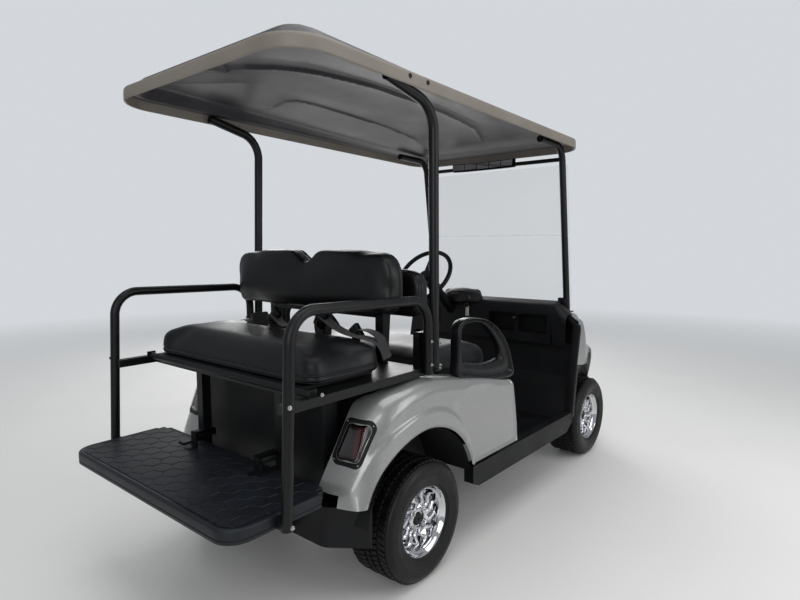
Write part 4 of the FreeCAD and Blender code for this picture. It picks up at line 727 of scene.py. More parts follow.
def quarterPoint(x, side, sides=30, arcs=12, flats=5):
    # one section of the quarter's skin, from its lower edge over the shoulder
    foot, outer, top, roll = eased(quarterRows, x)
    shape = quarterShape
    low = shape["tailSill"] if x < 0 else shape["sill"]
    if abs(x) < shape["archRadius"]:
        low = max(low, shape["archHeight"] + math.sqrt(shape["archRadius"] ** 2 - x * x))
    down = Vector((foot - outer, shape["sill"] - top)).normalized()
    half = down.angle(Vector((-1, 0))) / 2
    room = (top - low) / -down.y * 0.9
    reach = min(roll / math.tan(half), room)
    radius = reach * math.tan(half)
    corner = Vector((outer, top))
    middle = corner + (down + Vector((-1, 0))).normalized() * radius / math.sin(half)
    start = corner + down * reach
    foot = start + down * ((low - start.y) / down.y)
    points = [foot.lerp(start, i / sides) for i in range(sides)]
    first = math.atan2(start.y - middle.y, start.x - middle.x)
    points += [middle + Vector((math.cos(first + (math.pi / 2 - first) * i / arcs),
                                math.sin(first + (math.pi / 2 - first) * i / arcs))) * radius
               for i in range(arcs)]
    inner = shape["tailFoot"] + (shape["tailHead"] - shape["tailFoot"]) * step(top, 400, 700)
    inner += (shape["inner"] - inner) * step(x, -233, -160)
    edge = Vector((outer - reach, top))
    points += [edge.lerp(Vector((min(inner, edge.x - 2), top)), i / flats) for i in range(flats + 1)]
    found = []
    for across, up in points:
        away = math.hypot(x, up - shape["archHeight"]) - shape["archRadius"]
        turn = math.degrees(math.atan2(up - shape["archHeight"], x))
        band = 14 + 54 * step(turn, 22, 78)
        lift = shape["lip"] * (1 - step(away, band - 9, band + 9)) - 7 * (1 - step(away, 0, 10))
        lift *= 0.35 + 0.65 * step(across, 440, 570)
        # the panel behind the door opening is sunk below the fender's bulge
        crease = 652 + 52 * step(x, 120, 330) - 0.06 * max(0, x - 330)
        sunk = step(x, 150, 235) * step(crease - up, 6, 44) * step(away, band - 4, band + 22)
        flange = step(x, 684, 690) + step(shape["sill"] + 12 - up, 2, 8) * step(x, 200, 330)
        lift -= shape["recess"] * sunk * (1 - min(1, flange) * 0.8)
        back = shape["lean"] * max(0, (up - shape["sill"]) / 310) ** 1.4 * step(x, 380, 697)
        found.append(at(x - back, side * (across + lift), up))
    return found


def tailFaces(bm):
    # the quarter's low faces behind the wheel
    edge = at(-240, 0, 500)
    return [f for f in bm.faces if f.calc_center_median().x < edge.x and f.calc_center_median().z < edge.z]


def makeQuarter(side):
    shape = quarterShape
    first, last = quarterRows[0][0], quarterRows[-1][0]
    count = int((last - first) / shape["column"]) + 1
    bm = skinned([quarterPoint(first + i * shape["column"], side) for i in range(count)])
    # the tail face ends higher than the wheel lip's foot beside it
    cuts = ((at(0, 0, shape["tailStep"]), (0, 0, 1)), (at(0, side * shape["stepHalf"], 0), (0, 1, 0)))
    for spot, way in cuts:
        tail = tailFaces(bm)
        geom = tail + list({e for f in tail for e in f.edges}) + list({v for f in tail for v in f.verts})
        bmesh.ops.bisect_plane(bm, geom=geom, plane_co=spot, plane_no=way)
    bmesh.ops.delete(bm, geom=[f for f in tailFaces(bm) if f.calc_center_median().z < shape["tailStep"] * mm
                               and abs(f.calc_center_median().y) < shape["stepHalf"] * mm], context="FACES")
    mesh = walled(bm, shape["wall"])
    made = piece("quarter" + sideName(side), mesh, paint, angle=50)
    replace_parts(made, "quarter_" + sideName(side).lower())
    return skinOf(mesh)


tailSkins = {side: makeQuarter(side) for side in (1, -1)}

liner = {
    "height": 262, "first": 12, "arc": 158, "steps": 40,
    # half width and radius, from the fender's edge in and down the wall behind the wheel
    "section": [(576, 316), (375, 316), (351, 306), (345, 282), (345, 150)],
}


def makeLiner(side):
    # a black liner arches over the rear wheel and closes the well toward the middle
    rows = []
    for i in range(liner["steps"] + 1):
        turn = math.radians(liner["first"] + liner["arc"] * i / liner["steps"])
        rows.append([at(radius * math.cos(turn), side * across, liner["height"] + radius * math.sin(turn))
                     for across, radius in liner["section"]])
    piece("wheelLiner" + sideName(side), skinned(rows), angle=50)


for side in (1, -1):
    makeLiner(side)
print("quarters made")


tailLamp = {"back": 259, "half": 480, "height": 580, "turn": 22.3, "lean": 18.2, "face": 4, "round": 28}
lampCorners = [(-90, -72), (32, -87), (82, 77), (-42, 86)]
# how far the tail's skin stands off the lamp's plane, for powers of u and v in decimetres
lampSkin = [(0, 0, 28.0), (1, 0, 7.4), (0, 1, -8.8), (2, 0, -30.0), (1, 1, 4.8), (0, 2, -2.0)]


def onLamp(side, u, v, w):
    # a place on the tail lamp: u outward, v up and w out of the quarter's skin, where a ray meets it
    turn = Matrix.Rotation(math.radians(-side * tailLamp["turn"]), 3, "Z") \
        @ Matrix.Rotation(math.radians(tailLamp["lean"]), 3, "Y")
    middle = at(-tailLamp["back"], side * tailLamp["half"], tailLamp["height"])
    fitted = sum(part * (u / 100) ** across * (v / 100) ** up for across, up, part in lampSkin)
    start = middle + (turn @ Vector((-100, side * u, v))) * mm
    hit = tailSkins[side].ray_cast(start, turn @ Vector((1, 0, 0)), 0.12)
    if hit[0] is not None:
        fitted = max(fitted - 2, min(fitted + 6, 100 - hit[3] / mm))
    return middle + (turn @ Vector((-w - fitted, side * u, v))) * mm


def rounded(corners, radius, steps=6):
    # a closed outline with its corners rounded
    found = []
    spots = [Vector(corner) for corner in corners]
    for i, spot in enumerate(spots):
        back = (spots[i - 1] - spot).normalized()
        ahead = (spots[(i + 1) % len(spots)] - spot).normalized()
        half = back.angle(ahead) / 2
        middle = spot + (back + ahead).normalized() * radius / math.sin(half)
        first = spot + back * radius / math.tan(half) - middle
        last = spot + ahead * radius / math.tan(half) - middle
        for k in range(steps + 1):
            t = k / steps
            found.append(middle + (first * (1 - t) + last * t).normalized() * radius)
    return found


def toward(outline, middle, amount):
    # an outline moved in toward its middle by about an amount
    return [spot + (middle - spot).normalized() * amount for spot in outline]


def capped(bm):
    # a skin with its open ends closed
    bmesh.ops.holes_fill(bm, edges=[e for e in bm.edges if e.is_boundary])
    bmesh.ops.recalc_face_normals(bm, faces=bm.faces)
    return bm


def ringed(place, side, edge, middle, rings):
    # a skin whose rings follow an outline, each moved in and out by its own amounts
    return skinned([[place(side, *spot, out) for spot in toward(edge, middle, inset)]
                    for inset, out in rings], closed=True)


def makeLamp(side):
    name, face = sideName(side), tailLamp["face"]
    edge, middle = rounded(lampCorners, tailLamp["round"], 8), Vector((0, 0))
    rings = [(0, -30), (0, face - 3), (1.5, face - 0.6), (4, face + 0.6), (11, face + 1.4), (16, face + 0.4),
             (18, face - 2), (19, face - 9)]
    piece("tailBezel" + name, ringed(onLamp, side, edge, middle, rings))
    # smoked outer lens, dished round a red light guide
    rings = [(18.6, face - 8), (20, face - 3.5), (26, face - 0.5), (45, face + 1.5), (66, face + 2)]
    lens = capped(ringed(onLamp, side, edge, middle, rings))
    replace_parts(piece("tailLens" + name, lens, smokedLens, angle=60), "tail_lamps")
    guide = rounded([(-6, -56), (22, -50), (47, 56), (8, 52)], 9)
    rings = [(0, face - 4), (0.5, face + 2.4), (3, face + 3.4), (9, face + 3.8)]
    red = capped(ringed(onLamp, side, guide, Vector((17, 0)), rings))
    piece("tailGuide" + name, red, redLens, angle=50)
    screws = bmesh.new()
    for u, v in toward(rounded(lampCorners, tailLamp["round"], 2), middle, 8)[1::3]:
        head = bmesh.new()
        bmesh.ops.create_uvsphere(head, u_segments=10, v_segments=6, radius=2.6 * mm)
        bmesh.ops.translate(head, vec=onLamp(side, u, v, face + 0.5), verts=head.verts)
        screws.from_mesh(meshOf(head))
    piece("tailScrews" + name, screws, zinc, angle=50)


for side in (1, -1):
    makeLamp(side)
print("tail lamps made")

footrest = {
    "rear": -800, "front": -418, "half": 520, "top": 480, "skirt": 45, "corner": 76, "notch": 42,
    "pitch": 75, "columns": 54, "gap": 3.4, "tile": 1.6, "margin": 20,
}


def footOutline(inset):
    # the tray seen from above, with the cart-side corners cut back in a hollow curve
    rear, front = footrest["rear"] + inset, footrest["front"] - inset
    half, corner = footrest["half"] - inset, footrest["corner"] - inset
    found = []
    for k in range(13):
        turn = math.radians(180 + 90 * k / 12)
        found.append((rear + corner + corner * math.cos(turn), -half + corner + corner * math.sin(turn)))
    notch = footrest["notch"]
    for k in range(9):
        turn = math.radians(180 - 90 * k / 8)
        found.append((front + notch * math.cos(turn), -half + notch * math.sin(turn)))
    right = [(x, -y) for x, y in reversed(found)]
    return found + right


def makeFootrest():
    top, skirt = footrest["top"], footrest["skirt"]
    rings = [
        # inset, height: up the inside of the skirt, round its lip and over the top
        (9, top - 9), (9, top - skirt + 1), (7, top - skirt), (1.5, top - skirt + 0.2), (0, top - skirt + 2),
        (0, top - skirt + 10), (2.2, top - skirt + 11.5), (2.2, top - skirt + 13.5), (0, top - skirt + 15),
        (0, top - 9), (1.2, top - 4.5), (4, top - 1.2), (8, top - 0.2), (13, top), (15, top - 1.4),
        (17, top - 1.6),
    ]
    tray = capped(skinned([[at(*spot, height) for spot in footOutline(inset)] for inset, height in rings],
                          closed=True))
    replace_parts(piece("footrestTray", tray, matPlastic), "footrest")
    # six-sided tread tiles with grooves between
    tile = bmesh.new()
    bmesh.ops.create_circle(tile, cap_ends=True, segments=6, radius=1)
    bmesh.ops.rotate(tile, verts=tile.verts, cent=(0, 0, 0), matrix=Matrix.Rotation(math.pi / 6, 3, "Z"))
    raised = bmesh.ops.extrude_face_region(tile, geom=tile.faces[:])["geom"]
    bmesh.ops.translate(tile, vec=(0, 0, 1), verts=[v for v in raised if isinstance(v, bmesh.types.BMVert)])
    bmesh.ops.recalc_face_normals(tile, faces=tile.faces)
    one = meshOf(tile)
    tiles = bmesh.new()
    wide = footrest["columns"] / 1.5 - footrest["gap"] / 2
    tall = (footrest["pitch"] - footrest["gap"]) / math.sqrt(3)
    for column in range(-1, 9):
        x = footrest["rear"] + 22 + column * footrest["columns"]
        for row in range(-8, 9):
            y = (row + 0.5 * (column % 2)) * footrest["pitch"]
            before = set(tiles.verts)
            tiles.from_mesh(one)
            fresh = [v for v in tiles.verts if v not in before]
            for v in fresh:
                # each tile's sides draw in a little toward its top
                draw = 1 - 0.035 * v.co.z
                v.co = at(x + v.co.x * draw * wide, y + v.co.y * draw * tall,
                          footrest["top"] - 2.2 + v.co.z * (footrest["tile"] + 0.6))
    inset = footrest["margin"]
    low = at(footrest["rear"] + inset, -footrest["half"] + inset, 0)
    high = at(footrest["front"] - inset, footrest["half"] - inset, 0)
    corner = (footrest["corner"] - inset) * mm
    cuts = [((low.x, 0, 0), (-1, 0, 0)), ((high.x, 0, 0), (1, 0, 0)),
            ((0, low.y, 0), (0, -1, 0)), ((0, high.y, 0), (0, 1, 0))]
    for side in (1, -1):
        for k in range(1, 6):
            turn = math.radians(90 + 15 * k)
            way = Vector((math.cos(turn), side * math.sin(turn), 0))
            spot = Vector((low.x + corner, side * (high.y - corner), 0)) + way * corner
            cuts.append((spot, way))
    for spot, way in cuts:
        bmesh.ops.bisect_plane(tiles, geom=tiles.verts[:] + tiles.edges[:] + tiles.faces[:], plane_co=spot,
                               plane_no=way, clear_outer=True)
    piece("footrestTiles", tiles, matPlastic, angle=25)


makeFootrest()
print("footrest made")


roofShape = {
    # millimetres; heights are above the lip's own line, which falls toward the front
    "rear": -575, "length": 2030, "half": 555, "lip": 1815, "fall": 55, "corner": 150, "rim": 48,
    "crown": 50, "crownFall": 44, "wall": 8, "dome": 36,
}


def roofLine(x):
    # height of the roof's lip along the cart
    return roofShape["lip"] - roofShape["fall"] * (x - roofShape["rear"]) / roofShape["length"]


def roofAcross(x, inset):
    # half width of the roof's rounded outline at x, that far in from its edge
    middle = roofShape["rear"] + roofShape["length"] / 2
    corner = max(roofShape["corner"] - inset, 4)
    end = roofShape["length"] / 2 - inset
    past = max(0.0, abs(x - middle) - (end - corner))
    return roofShape["half"] - inset - corner + math.sqrt(max(0.0, corner * corner - past * past))


def roofEdge(inset, height, arcs=14, runs=(40, 20)):
    # a closed line round the roof at an inset and a height above the lip
    rear, front = roofShape["rear"] + inset, roofShape["rear"] + roofShape["length"] - inset
    half, corner = roofShape["half"] - inset, max(roofShape["corner"] - inset, 4)
    found = []
    corners = [(front - corner, half - corner, 0), (rear + corner, half - corner, 90),
               (rear + corner, corner - half, 180), (front - corner, corner - half, 270)]
    for number, (x, y, first) in enumerate(corners):
        for k in range(arcs + 1):
            turn = math.radians(first + 90 * k / arcs)
            found.append((x + corner * math.cos(turn), y + corner * math.sin(turn)))
        following = corners[(number + 1) % 4]
        turn = math.radians(following[2])
        last = (following[0] + corner * math.cos(turn), following[1] + corner * math.sin(turn))
        here = found[-1]
        count = runs[number % 2]
        found += [(here[0] + (last[0] - here[0]) * k / count, here[1] + (last[1] - here[1]) * k / count)
                  for k in range(1, count)]
    return [at(x, y, roofLine(x) + (height(x, y) if callable(height) else height)) for x, y in found]


def fromEdge(x, y):
    # distance in from the roof's rounded outline
    middle = roofShape["rear"] + roofShape["length"] / 2
    corner = roofShape["corner"]
    px = abs(x - middle) - (roofShape["length"] / 2 - corner)
    py = abs(y) - (roofShape["half"] - corner)
    return corner - math.hypot(max(px, 0), max(py, 0)) - min(max(px, py), 0)


def crownRise(x, y, inset=0):
    # how far the crown stands above the rim's top
    along = (x - roofShape["rear"]) / roofShape["length"]
    full = roofShape["crown"] - roofShape["crownFall"] * along
    away = fromEdge(x, y) - inset
    dome = roofShape["dome"] * math.sin(math.pi * min(1, max(0, along))) ** 1.5
    return full * step(away, 20, 84) + (7 + dome) * step(away, 84, 400)


swages = [
    # lines pressed into the ceiling, along and across
    [(-392, 34), (-354, -33), (-274, -101), (-106, -160), (123, -200), (446, -208), (715, -205), (930, -186),
     (1110, -112)],
    [(64, 322), (62, 246), (96, 214), (156, 202), (416, 204), (715, 207), (930, 219), (1120, 276)],
    [(-392, 34), (-420, 120), (-424, 300), (-466, 452)],
]


def besideSwage(x, y, line):
    # distance from a line, negative on its right
    best, found = 1e9, 0.0
    for (ax, ay), (bx, by) in zip(line, line[1:]):
        wide, tall = bx - ax, by - ay
        t = min(1, max(0, ((x - ax) * wide + (y - ay) * tall) / (wide * wide + tall * tall)))
        away = math.hypot(x - ax - wide * t, y - ay - tall * t)
        if away < best:
            best = away
            found = math.copysign(away, wide * (y - ay) - tall * (x - ax))
    return found


def ceilingRise(x, y):
    # the underside: a ledge, the crown's hollow and swages with a soft step along them
    rise = roofShape["rim"] - 8 + crownRise(x, y, 10)
    for number, line in enumerate(swages):
        away = besideSwage(x, y, line)
        rise -= 8 * math.exp(-(away / 12) ** 2)
        if number < 2:
            inside = away if number == 0 else -away
            rise -= 9 * math.exp(-(max(0, inside) / 60) ** 2) * step(inside, -8, 4)
    # a second ledge inside the rim's
    rise -= 5 * (1 - step(fromEdge(x, y), 40, 52))
    return rise


def roofGrid(rise, inset, columns, lanes):
    # rows across the roof, as wide as its outline at each place
    rear, front = roofShape["rear"] + inset, roofShape["rear"] + roofShape["length"] - inset
    rows = []
    for i in range(columns + 1):
        # columns close up toward the ends
        t = i / columns
        x = rear + (front - rear) * (t - 0.09 * math.sin(math.tau * t))
        half = roofAcross(x, inset)
        row = []
        for j in range(lanes + 1):
            s = 2 * j / lanes - 1
            y = half * (s + 0.1 * math.sin(math.pi * s))
            row.append(at(x, y, roofLine(x) + rise(x, y)))
        rows.append(row)
    return skinned(rows)


def makeRoof():
    rim, wall = roofShape["rim"], roofShape["wall"]
    rings = [
        # inset, height: round the rim, from its inner foot over the lip and up to the ledge
        (wall + 14, rim - 8), (wall + 4, rim - 9), (wall, rim - 14), (wall, 5), (wall - 1.5, 1.5),
        (wall - 4, 0), (2.5, 0.6), (0.6, 3), (0, 7), (0.4, rim - 14), (1.6, rim - 5), (4.5, rim - 0.8),
        (9, rim + 0.4), (24, rim),
    ]
    bm = skinned([roofEdge(inset, height) for inset, height in rings], closed=True)
    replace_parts(piece("roofRim", bm, roofOuter), "roof")
    top = roofGrid(lambda x, y: rim - 0.4 + crownRise(x, y), 18, 84, 56)
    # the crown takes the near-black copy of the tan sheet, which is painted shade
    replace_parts(piece("roofCrown", top, roofCrownShaded, angle=60), "roof")
    # the ceiling takes the dark grey copy of the tan sheet, which is painted shade
    ceiling = roofGrid(ceilingRise, wall + 10, 290, 190)
    piece("roofCeiling", ceiling, roofUnderShaded, angle=60)
    # round plugs in the rim over each strut
    plugs = bmesh.new()
    for side in (1, -1):
        for x in (-58, 42):
            plug = rod(20, 9, 7.5, 3, Matrix.Rotation(-side * math.pi / 2, 3, "X"),
                       at(x, side * (roofShape["half"] + 0.8), roofLine(x) + 30))
            plugs.from_mesh(meshOf(plug))
    piece("roofPlugs", plugs)


makeRoof()
print("roof made")


def softened(points, times=3):
    # an open line with its corners cut round, the same number of points from each line
    for _ in range(times):
        cut = [points[0]]
        for near, far in zip(points, points[1:]):
            cut += [tuple(a * 0.75 + b * 0.25 for a, b in zip(near, far)),
                    tuple(a * 0.25 + b * 0.75 for a, b in zip(near, far))]
        points = cut + [points[-1]]
    return points


cowl = {
    "wheel": 1670, "height": 250, "archRear": 378, "archFront": 285, "archTop": 390, "lean": 100, "wall": 5,
    "rear": 1304, "hood": 1440, "lip": 7, "sill": 300,
}
cowlRows = [
    # along, half width low, half width at the shoulder, shoulder height, hood half width, hood height
    (1304, 586, 580, 838, 505, 872),
    (1360, 586, 581, 832, 505, 872),
    (1420, 586, 580, 782, 503, 871),
    (1480, 580, 571, 720, 492, 866),
    (1540, 565, 554, 672, 472, 848),
    (1600, 546, 533, 652, 446, 820),
    (1670, 524, 510, 650, 416, 782),
    (1760, 499, 484, 640, 380, 726),
    (1850, 468, 451, 600, 342, 650),
    (1925, 425, 404, 545, 300, 574),
    (1985, 352, 326, 470, 242, 492),
]
cowlHem = [
    # along, height of the cheek's lower edge behind the front wheel
    (1304, 602), (1380, 590), (1430, 588), (1480, 612), (1530, 634), (1600, 640), (1670, 640),
]


def rearLean(up):
    # how far forward the cowl's rear edge leans at a height
    return cowl["lean"] * (max(0, up - cowl["sill"]) / 570) ** 1.2


def cowlRow(x):
    # one section of the cowl's skin, from its right lower edge over the hood to its left one
    low, side, shoulder, hood, top = eased(cowlRows, x)
    off = x - cowl["wheel"]
    reach = cowl["archFront"] if off > 0 else cowl["archRear"]
    foot = cowl["sill"]
    if off <= 0:
        foot = eased(cowlHem, x)[0]
    elif off < reach:
        foot = max(foot, cowl["height"] + cowl["archTop"] * math.sqrt(1 - (off / reach) ** 2))
    foot = min(foot, shoulder - 12)
    cheek, rise = shoulder - foot, top - shoulder
    half = softened([(low, foot), (low + 1, foot + cheek * 0.3), (side + 3, foot + cheek * 0.75),
                     (side - 4, shoulder), (side - 34, shoulder + rise * 0.32),
                     (hood + 22, top - rise * 0.12), (hood - 20, top + 2), (hood * 0.55, top + 12),
                     (0, top + 16)])
    found = []
    for side, points in ((-1, half), (1, half[-2::-1])):
        for across, up in points:
            away = math.hypot(off / reach, max(0, up - cowl["height"]) / cowl["archTop"]) * 330 - 330
            lift = cowl["lip"] * (1 - step(away, 12, 34)) - 5 * (1 - step(away, 0, 9))
            lift *= step(across, 330, 480) * step(x, 1310, 1350)
            lean = rearLean(up) * (1 - step(x, 1310, 1620))
            found.append(at(x + lean, side * (across + lift), up))
    return found


headLamp = {"corners": [(286, 508), (404, 500), (394, 546), (296, 568)], "round": 15}


def makeHeadLamps(skin):
    # clear lenses let into the nose, each in a black bezel, laid on the cowl's skin
    def onNose(side, y, z, out):
        hit = skin.ray_cast(at(2100, side * y, z), Vector((-1, 0, 0)), 0.6)
        return (hit[0] or at(1920, side * y, z)) + Vector((out * mm, 0, 0))

    edge = rounded(headLamp["corners"], headLamp["round"], 6)
    middle = sum(edge, Vector((0, 0))) / len(edge)
    for side in (1, -1):
        name = sideName(side)
        rings = [(0, -14), (0, 2), (1.5, 3.4), (6, 3.8), (8, 2), (8.6, -4)]
        piece("headBezel" + name, ringed(onNose, side, edge, middle, rings))
        rings = [(8.2, -4), (9, 0.5), (14, 4), (22, 6), (27, 6.6)]
        lens = capped(ringed(onNose, side, edge, middle, rings))
        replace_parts(piece("headLens" + name, lens, clearLens, angle=50), "head_lamps")


cowlEdges = [
    # name, steps, heights from and to, heights where it starts to lean in and where that ends, and its
    # section: forward of the cowl's rear edge, half width, 1 where it leans in. The trim closes the cowl's
    # rear edges beside the door openings; the liner lies inside the cheeks and turns in behind the dash
    ("cowlTrim", 28, 296, 874, 800, 874,
     [(12, 586, 1), (3, 589, 1), (-3, 586, 1), (-6, 570, 1), (-3, 545, 1), (16, 536, 1), (60, 533, 1)]),
    ("cowlLiner", 19, 300, 860, 790, 870, [(10, 570, 1), (80, 566, 1), (92, 545, 1), (94, 425, 0)]),
]


def makeCowl():
    rear, front = cowl["rear"], cowlRows[-1][0]
    bm = skinned([cowlRow(rear + (front - rear) * i / 96) for i in range(97)])
    # the cab opens behind the hood
    edge, half = at(cowl["hood"] + cowl["lean"] * 0.8, 0, 0).x, 500 * mm
    bmesh.ops.delete(bm, geom=[f for f in bm.faces if f.calc_center_median().x < edge
                               and abs(f.calc_center_median().y) < half], context="FACES")
    mesh = walled(bm, cowl["wall"])
    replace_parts(piece("cowlShell", mesh, paint, angle=50), "front_cowl")
    makeHeadLamps(skinOf(mesh))
    for side in (1, -1):
        for name, count, low, high, first, last, section in cowlEdges:
            rows = []
            for i in range(count + 1):
                up = low + (high - low) * i / count
                x = rear + rearLean(up)
                inward = 78 * step(up, first, last)
                rows.append([at(x + ahead, side * (half - inward * leans), up)
                             for ahead, half, leans in section])
            piece(name + sideName(side), skinned(rows))


makeCowl()
print("cowl made")

dash = {
    # half width, height of the roll's foot and of its ends' foot, half width between the ends
    "half": 528, "foot": 868, "endFoot": 700, "between": 441, "face": 1326,
    "section": [(1476, 868), (1466, 892), (1440, 915), (1404, 928), (1366, 931), (1340, 922), (1327, 902),
                (1325, 872)],
    "pod": (1356, 162, 915), "gauge": (1296, 165, 938), "selector": 107, "key": (-220, 836),
}


def makeDash():
    # padded top roll, with ends that close the dash to the cowl's sides
    rows = []
    foot, face = dash["foot"], dash["face"]
    for i in range(57):
        y = dash["half"] * (2 * i / 56 - 1)
        lower = dash["endFoot"] if abs(y) > dash["between"] else foot
        rounding = 62 * step(abs(y), 455, 540)
        rows.append([at(x, y, z - rounding) for x, z in softened(dash["section"], 2)]
                    + [at(face, y, foot + (lower - foot) * k / 6) for k in range(1, 7)]
                    + [at(face + 19, y, lower - 4)])
    piece("dashRoll", skinned(rows), angle=50)
    # instrument pod: a low dome with a hooded dark face toward the driver
    along, across, height = dash["pod"]
    dome = bmesh.new()
    bmesh.ops.create_uvsphere(dome, u_segments=40, v_segments=24, radius=1)
    for v in dome.verts:
        x, y, z = v.co
        tall = max(0.0, z) ** 0.8
        v.co = at(along + x * 84, across + y * (148 - 12 * max(0, -y)), height + tall * 74 + min(0, z) * 20)
    bmesh.ops.bisect_plane(dome, geom=dome.verts[:] + dome.edges[:] + dome.faces[:],
                           plane_co=at(1288, 0, 930), plane_no=Vector((-1, 0, 0.25)), clear_outer=True)
    piece("dashPod", dome)
    along, across, height = dash["gauge"]
    disc = bmesh.new()
    bmesh.ops.create_cone(disc, cap_ends=True, segments=40, radius1=1, radius2=0.94, depth=1)
    for v in disc.verts:
        v.co = at(along - v.co.z * 10 + v.co.y * 9, across + v.co.x * 96, height + v.co.y * 32)
    bmesh.ops.recalc_face_normals(disc, faces=disc.faces)
    piece("dashGauge", disc, smokedLens)
    # selector plate, key switch and its collar
    piece("selectorPlate", block((7, 24, 60), 3, 3, at(face - 5, dash["selector"], 850)), paleAbs)
    cap = bmesh.new()
    bmesh.ops.create_uvsphere(cap, u_segments=20, v_segments=12, radius=1)
    bmesh.ops.scale(cap, vec=(16 * mm, 15 * mm, 19 * mm), verts=cap.verts)
    bmesh.ops.translate(cap, vec=at(face - 12, dash["selector"], 893), verts=cap.verts)
    piece("selectorKnob", cap, glossPlastic, angle=60)
    for name, radius, deep, finish in (("keyCollar", 15, 8, glossPlastic), ("keyBarrel", 8, 16, chrome)):
        barrel = rod(24, radius, radius * 0.9, deep, Matrix.Rotation(-math.pi / 2, 3, "Y"),
                     at(face - deep / 2, *dash["key"]))
        piece(name, barrel, finish)


makeDash()
print("dash made")

# Outlines of the hip hoops, seen from the side
hoopOuter = [(238, 730), (237, 822), (238, 905), (252, 943), (302, 959), (381, 955), (467, 936), (563, 886),
             (638, 810), (682, 722), (692, 655), (560, 660), (422, 682), (310, 712)]
hoopInner = [(286, 790), (280, 850), (279, 905), (296, 931), (340, 936), (388, 934), (440, 920), (515, 874),
             (570, 820), (592, 775), (578, 752), (510, 746), (430, 752), (346, 768)]
hoopRings = [
    # share of the way from the outer to the inner outline, outward
    (1.0, 522), (0.5, 519), (0.12, 520), (0.03, 527), (0.0, 538), (0.01, 551), (0.05, 559), (0.12, 562.5),
    (0.2, 562), (0.27, 558), (0.3, 551), (0.36, 549), (0.6, 552), (0.86, 551), (0.97, 545), (1.0, 536),
]


def makeHoops():
    outer, inner = evenLoop(hoopOuter, 120), evenLoop(hoopInner, 120)
    for side in (1, -1):
        rings = [[at(a.lerp(b, share).x, side * across, a.lerp(b, share).y)
                  for a, b in zip(outer, inner)] for share, across in hoopRings]
        bm = skinned(rings, closed=True, ring=True)
        hoop = piece("hipHoop" + sideName(side), bm, glossPlastic, angle=50)
        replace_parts(hoop, "hip_restraints")


makeHoops()
print("hip hoops made")


def plate(bm, low, high, edge):
    # a bevelled box between two corners in millimetres, added to a mesh
    bm.from_mesh(meshOf(block(Vector(high) - Vector(low), edge, 2, (at(*low) + at(*high)) / 2)))


bolts = [
    # along, across, height, head radius; each faces outward on both sides of the cart
    (-617, 567, 800, 5), (-463, 532, 800, 4.5), (46, 571, 902, 4), (100, 571, 890, 4), (46, 571, 815, 4),
    (100, 571, 806, 4), (-617, 567, 446, 5),
]


def makeBolts():
    # flanged hex bolts on the frame's sides
    heads = bmesh.new()
    for along, across, height, radius in bolts:
        for side in (1, -1):
            for sides, wide, low, high in ((24, 1.45, 0, 1.6), (6, 1.0, 1.6, 5.5)):
                head = rod(sides, radius * wide, radius * wide * 0.93, high - low,
                           Matrix.Rotation(-side * math.pi / 2, 3, "X"),
                           at(along, side * (across + (low + high) / 2), height))
                heads.from_mesh(meshOf(head))
    piece("frameBolts", heads, zinc, angle=30)


makeBolts()

angles = {"places": (178, -226), "rear": -488, "front": -402, "top": 538, "half": 20, "sheet": 6}


def makeAngles():
    # angle brackets that carry the footrest: an upright, an arm to the frame and a gusset between
    bm = bmesh.new()
    rear, front, top, sheet = (angles[key] for key in ("rear", "front", "top", "sheet"))
    for y in angles["places"]:
        low, high = y - angles["half"], y + angles["half"]
        plate(bm, (rear, low, 474), (rear + sheet, high, top), 1.5)
        plate(bm, (rear, low, top - sheet), (front, high, top), 1.5)
        plate(bm, (rear, low, top - 26), (front, low + sheet, top), 1.5)
        plate(bm, (rear - 34, low, 477), (rear + sheet, high, 483), 1.5)
    piece("footrestAngles", bm, powder)


makeAngles()
print("frame details made")

bumper = {"half": 478, "front": 2046, "ends": 1905, "low": 215, "high": 425, "deep": 46}


def makeBumper():
    # a moulded bumper that bows forward round the nose
    front, low, high, deep = (bumper[key] for key in ("front", "low", "high", "deep"))
    rows = []
    for i in range(61):
        s = 2 * i / 60 - 1
        y = bumper["half"] * s
        x = front - (front - bumper["ends"]) * abs(s) ** 2.6
        draw = 26 * step(abs(s), 0.8, 1)
        outline = [(x - deep, low + 18), (x - 26, low), (x - 8, low + 8), (x, low + 42), (x - 7, low + 84),
                   (x - 7, high - 84), (x, high - 44), (x - 8, high - 10 - draw), (x - 26, high - draw),
                   (x - deep, high - 6 - draw)]
        rows.append([at(along, y, up) for along, up in softened(outline, 2)])
    bm = capped(skinned(rows, closed=True))
    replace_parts(piece("noseBumper", bm, angle=50), "front_bumper")


makeBumper()

screen = {
    # foot: along and height, from where the screen leans back by its slope
    "half": 468, "split": 1307, "foot": (1490, 870), "slope": 0.128, "retained": ((985, 1255), (1380, 1600)),
}


def makeScreenTrim():
    # hinge strip between the panes, side retainers and the clamps at their foot
    half, split, (foot, ground) = screen["half"], screen["split"], screen["foot"]
    strip = bmesh.new()
    plate(strip, (1444, -half, split - 5), (1447, half, split + 5), 1)
    piece("screenHinge", strip, acrylic)
    parts = bmesh.new()
    for side in (1, -1):
        for low, high in screen["retained"]:
            lean = [foot - (up - ground) * screen["slope"] for up in (low, high)]
            rows = [[at(x - 12, side * 474, up), at(x - 12, side * 459, up), at(x + 4, side * 457, up),
                     at(x + 4, side * 474, up)] for x, up in zip(lean, (low, high))]
            parts.from_mesh(meshOf(skinned(rows, closed=True)))
        low, high = sorted((side * 468, side * 418))
        plate(parts, (1458, low, 898), (1486, high, 952), 4)
    piece("screenRetainers", parts)


makeScreenTrim()
print("screen trim made")


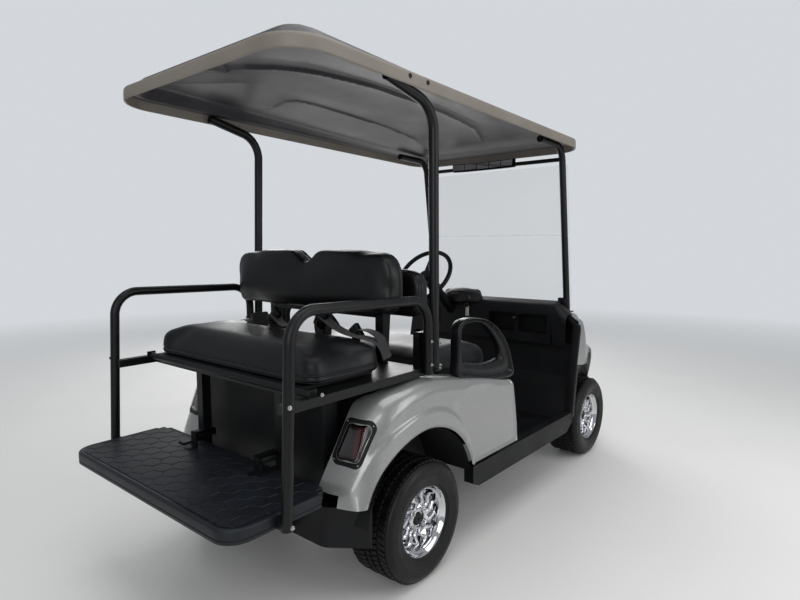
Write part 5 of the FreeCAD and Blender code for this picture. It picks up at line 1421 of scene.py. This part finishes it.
def strap(bm, points, turn, width=46, thick=1.8):
    # a belt through points: its width lies along turn where it can
    spots = [Vector(p) for p in softened([tuple(p) for p in points], 3)]
    rows = []
    for i, spot in enumerate(spots):
        way = (spots[min(i + 1, len(spots) - 1)] - spots[max(i - 1, 0)]).normalized()
        across = Vector(turn) - way * way.dot(Vector(turn))
        across.normalize()
        out = way.cross(across)
        rows.append([at(*(spot + across * a * width / 2 + out * b * thick / 2))
                     for a, b in ((-1, -1), (1, -1), (1, 1), (-1, 1))])
    bm.from_mesh(meshOf(capped(skinned(rows, closed=True))))


belts = [
    # points along one belt, and the direction that its width lies along
    ([(-60, -96, 812), (-72, -100, 870), (-96, -112, 925), (-112, -128, 962)], (1, 0.2, 0)),
    ([(-96, -128, 985), (-104, -184, 957), (-110, -250, 934), (-112, -315, 921), (-108, -385, 916),
      (-96, -448, 905), (-84, -470, 850)], (1, 0, 0.1)),
    ([(-70, -296, 820), (-76, -300, 905), (-84, -322, 938), (-90, -362, 944), (-88, -404, 938),
      (-80, -440, 914), (-70, -452, 840)], (1, 0, 0)),
    ([(-60, 205, 812), (-80, 200, 930), (-100, 178, 968), (-108, 140, 952), (-112, 104, 932),
      (-116, 60, 921)], (1, 0, 0)),
    ([(-70, 330, 815), (-86, 336, 900), (-104, 352, 926), (-120, 372, 922)], (1, 0.3, 0)),
]
buckles = [
    # middle of each buckle, size across, along and tall, tilt in degrees about the cart's length
    ((-104, -138, 968), (24, 54, 70), 24), ((-88, -318, 928), (22, 46, 60), -38),
    ((-104, 152, 958), (22, 48, 62), 40),
]


def makeBelts():
    bm = bmesh.new()
    for points, turn in belts:
        strap(bm, points, turn)
    piece("seatBelts", bm, webbing, angle=60)
    shells = bmesh.new()
    for middle, size, tilt in buckles:
        shells.from_mesh(meshOf(block(size, 5, 3, at(*middle), tilt)))
    piece("beltBuckles", shells, glossPlastic)


makeBelts()
print("belts made")

mirrorPanels = {"along": 1309, "half": 205, "count": 5, "low": 1699, "high": 1737, "bow": 16}


def makeMirror():
    # five flat mirror panels that bow round the driver's view, in a thin frame
    glass, edging = bmesh.new(), bmesh.new()
    count, half = mirrorPanels["count"], mirrorPanels["half"]
    edges = [half * (2 * i / count - 1) for i in range(count + 1)]
    bowed = [mirrorPanels["along"] - mirrorPanels["bow"] * (y / half) ** 2 for y in edges]
    for (near, far), (back, ahead) in zip(zip(edges, edges[1:]), zip(bowed, bowed[1:])):
        for bm, gap, rise, out in ((glass, 2.5, 2.5, 0), (edging, 0, 0, -2)):
            low, high = mirrorPanels["low"] + rise, mirrorPanels["high"] - rise
            rows = [[at(back - out, near + gap, low), at(ahead - out, far - gap, low)],
                    [at(back - out + 3, near + gap, high), at(ahead - out + 3, far - gap, high)]]
            bm.from_mesh(meshOf(skinned(rows)))
    piece("mirrorPanels", glass, mirrorFace, angle=20)
    piece("mirrorFrame", edging, glossPlastic, angle=20)


makeMirror()
print("mirror made")
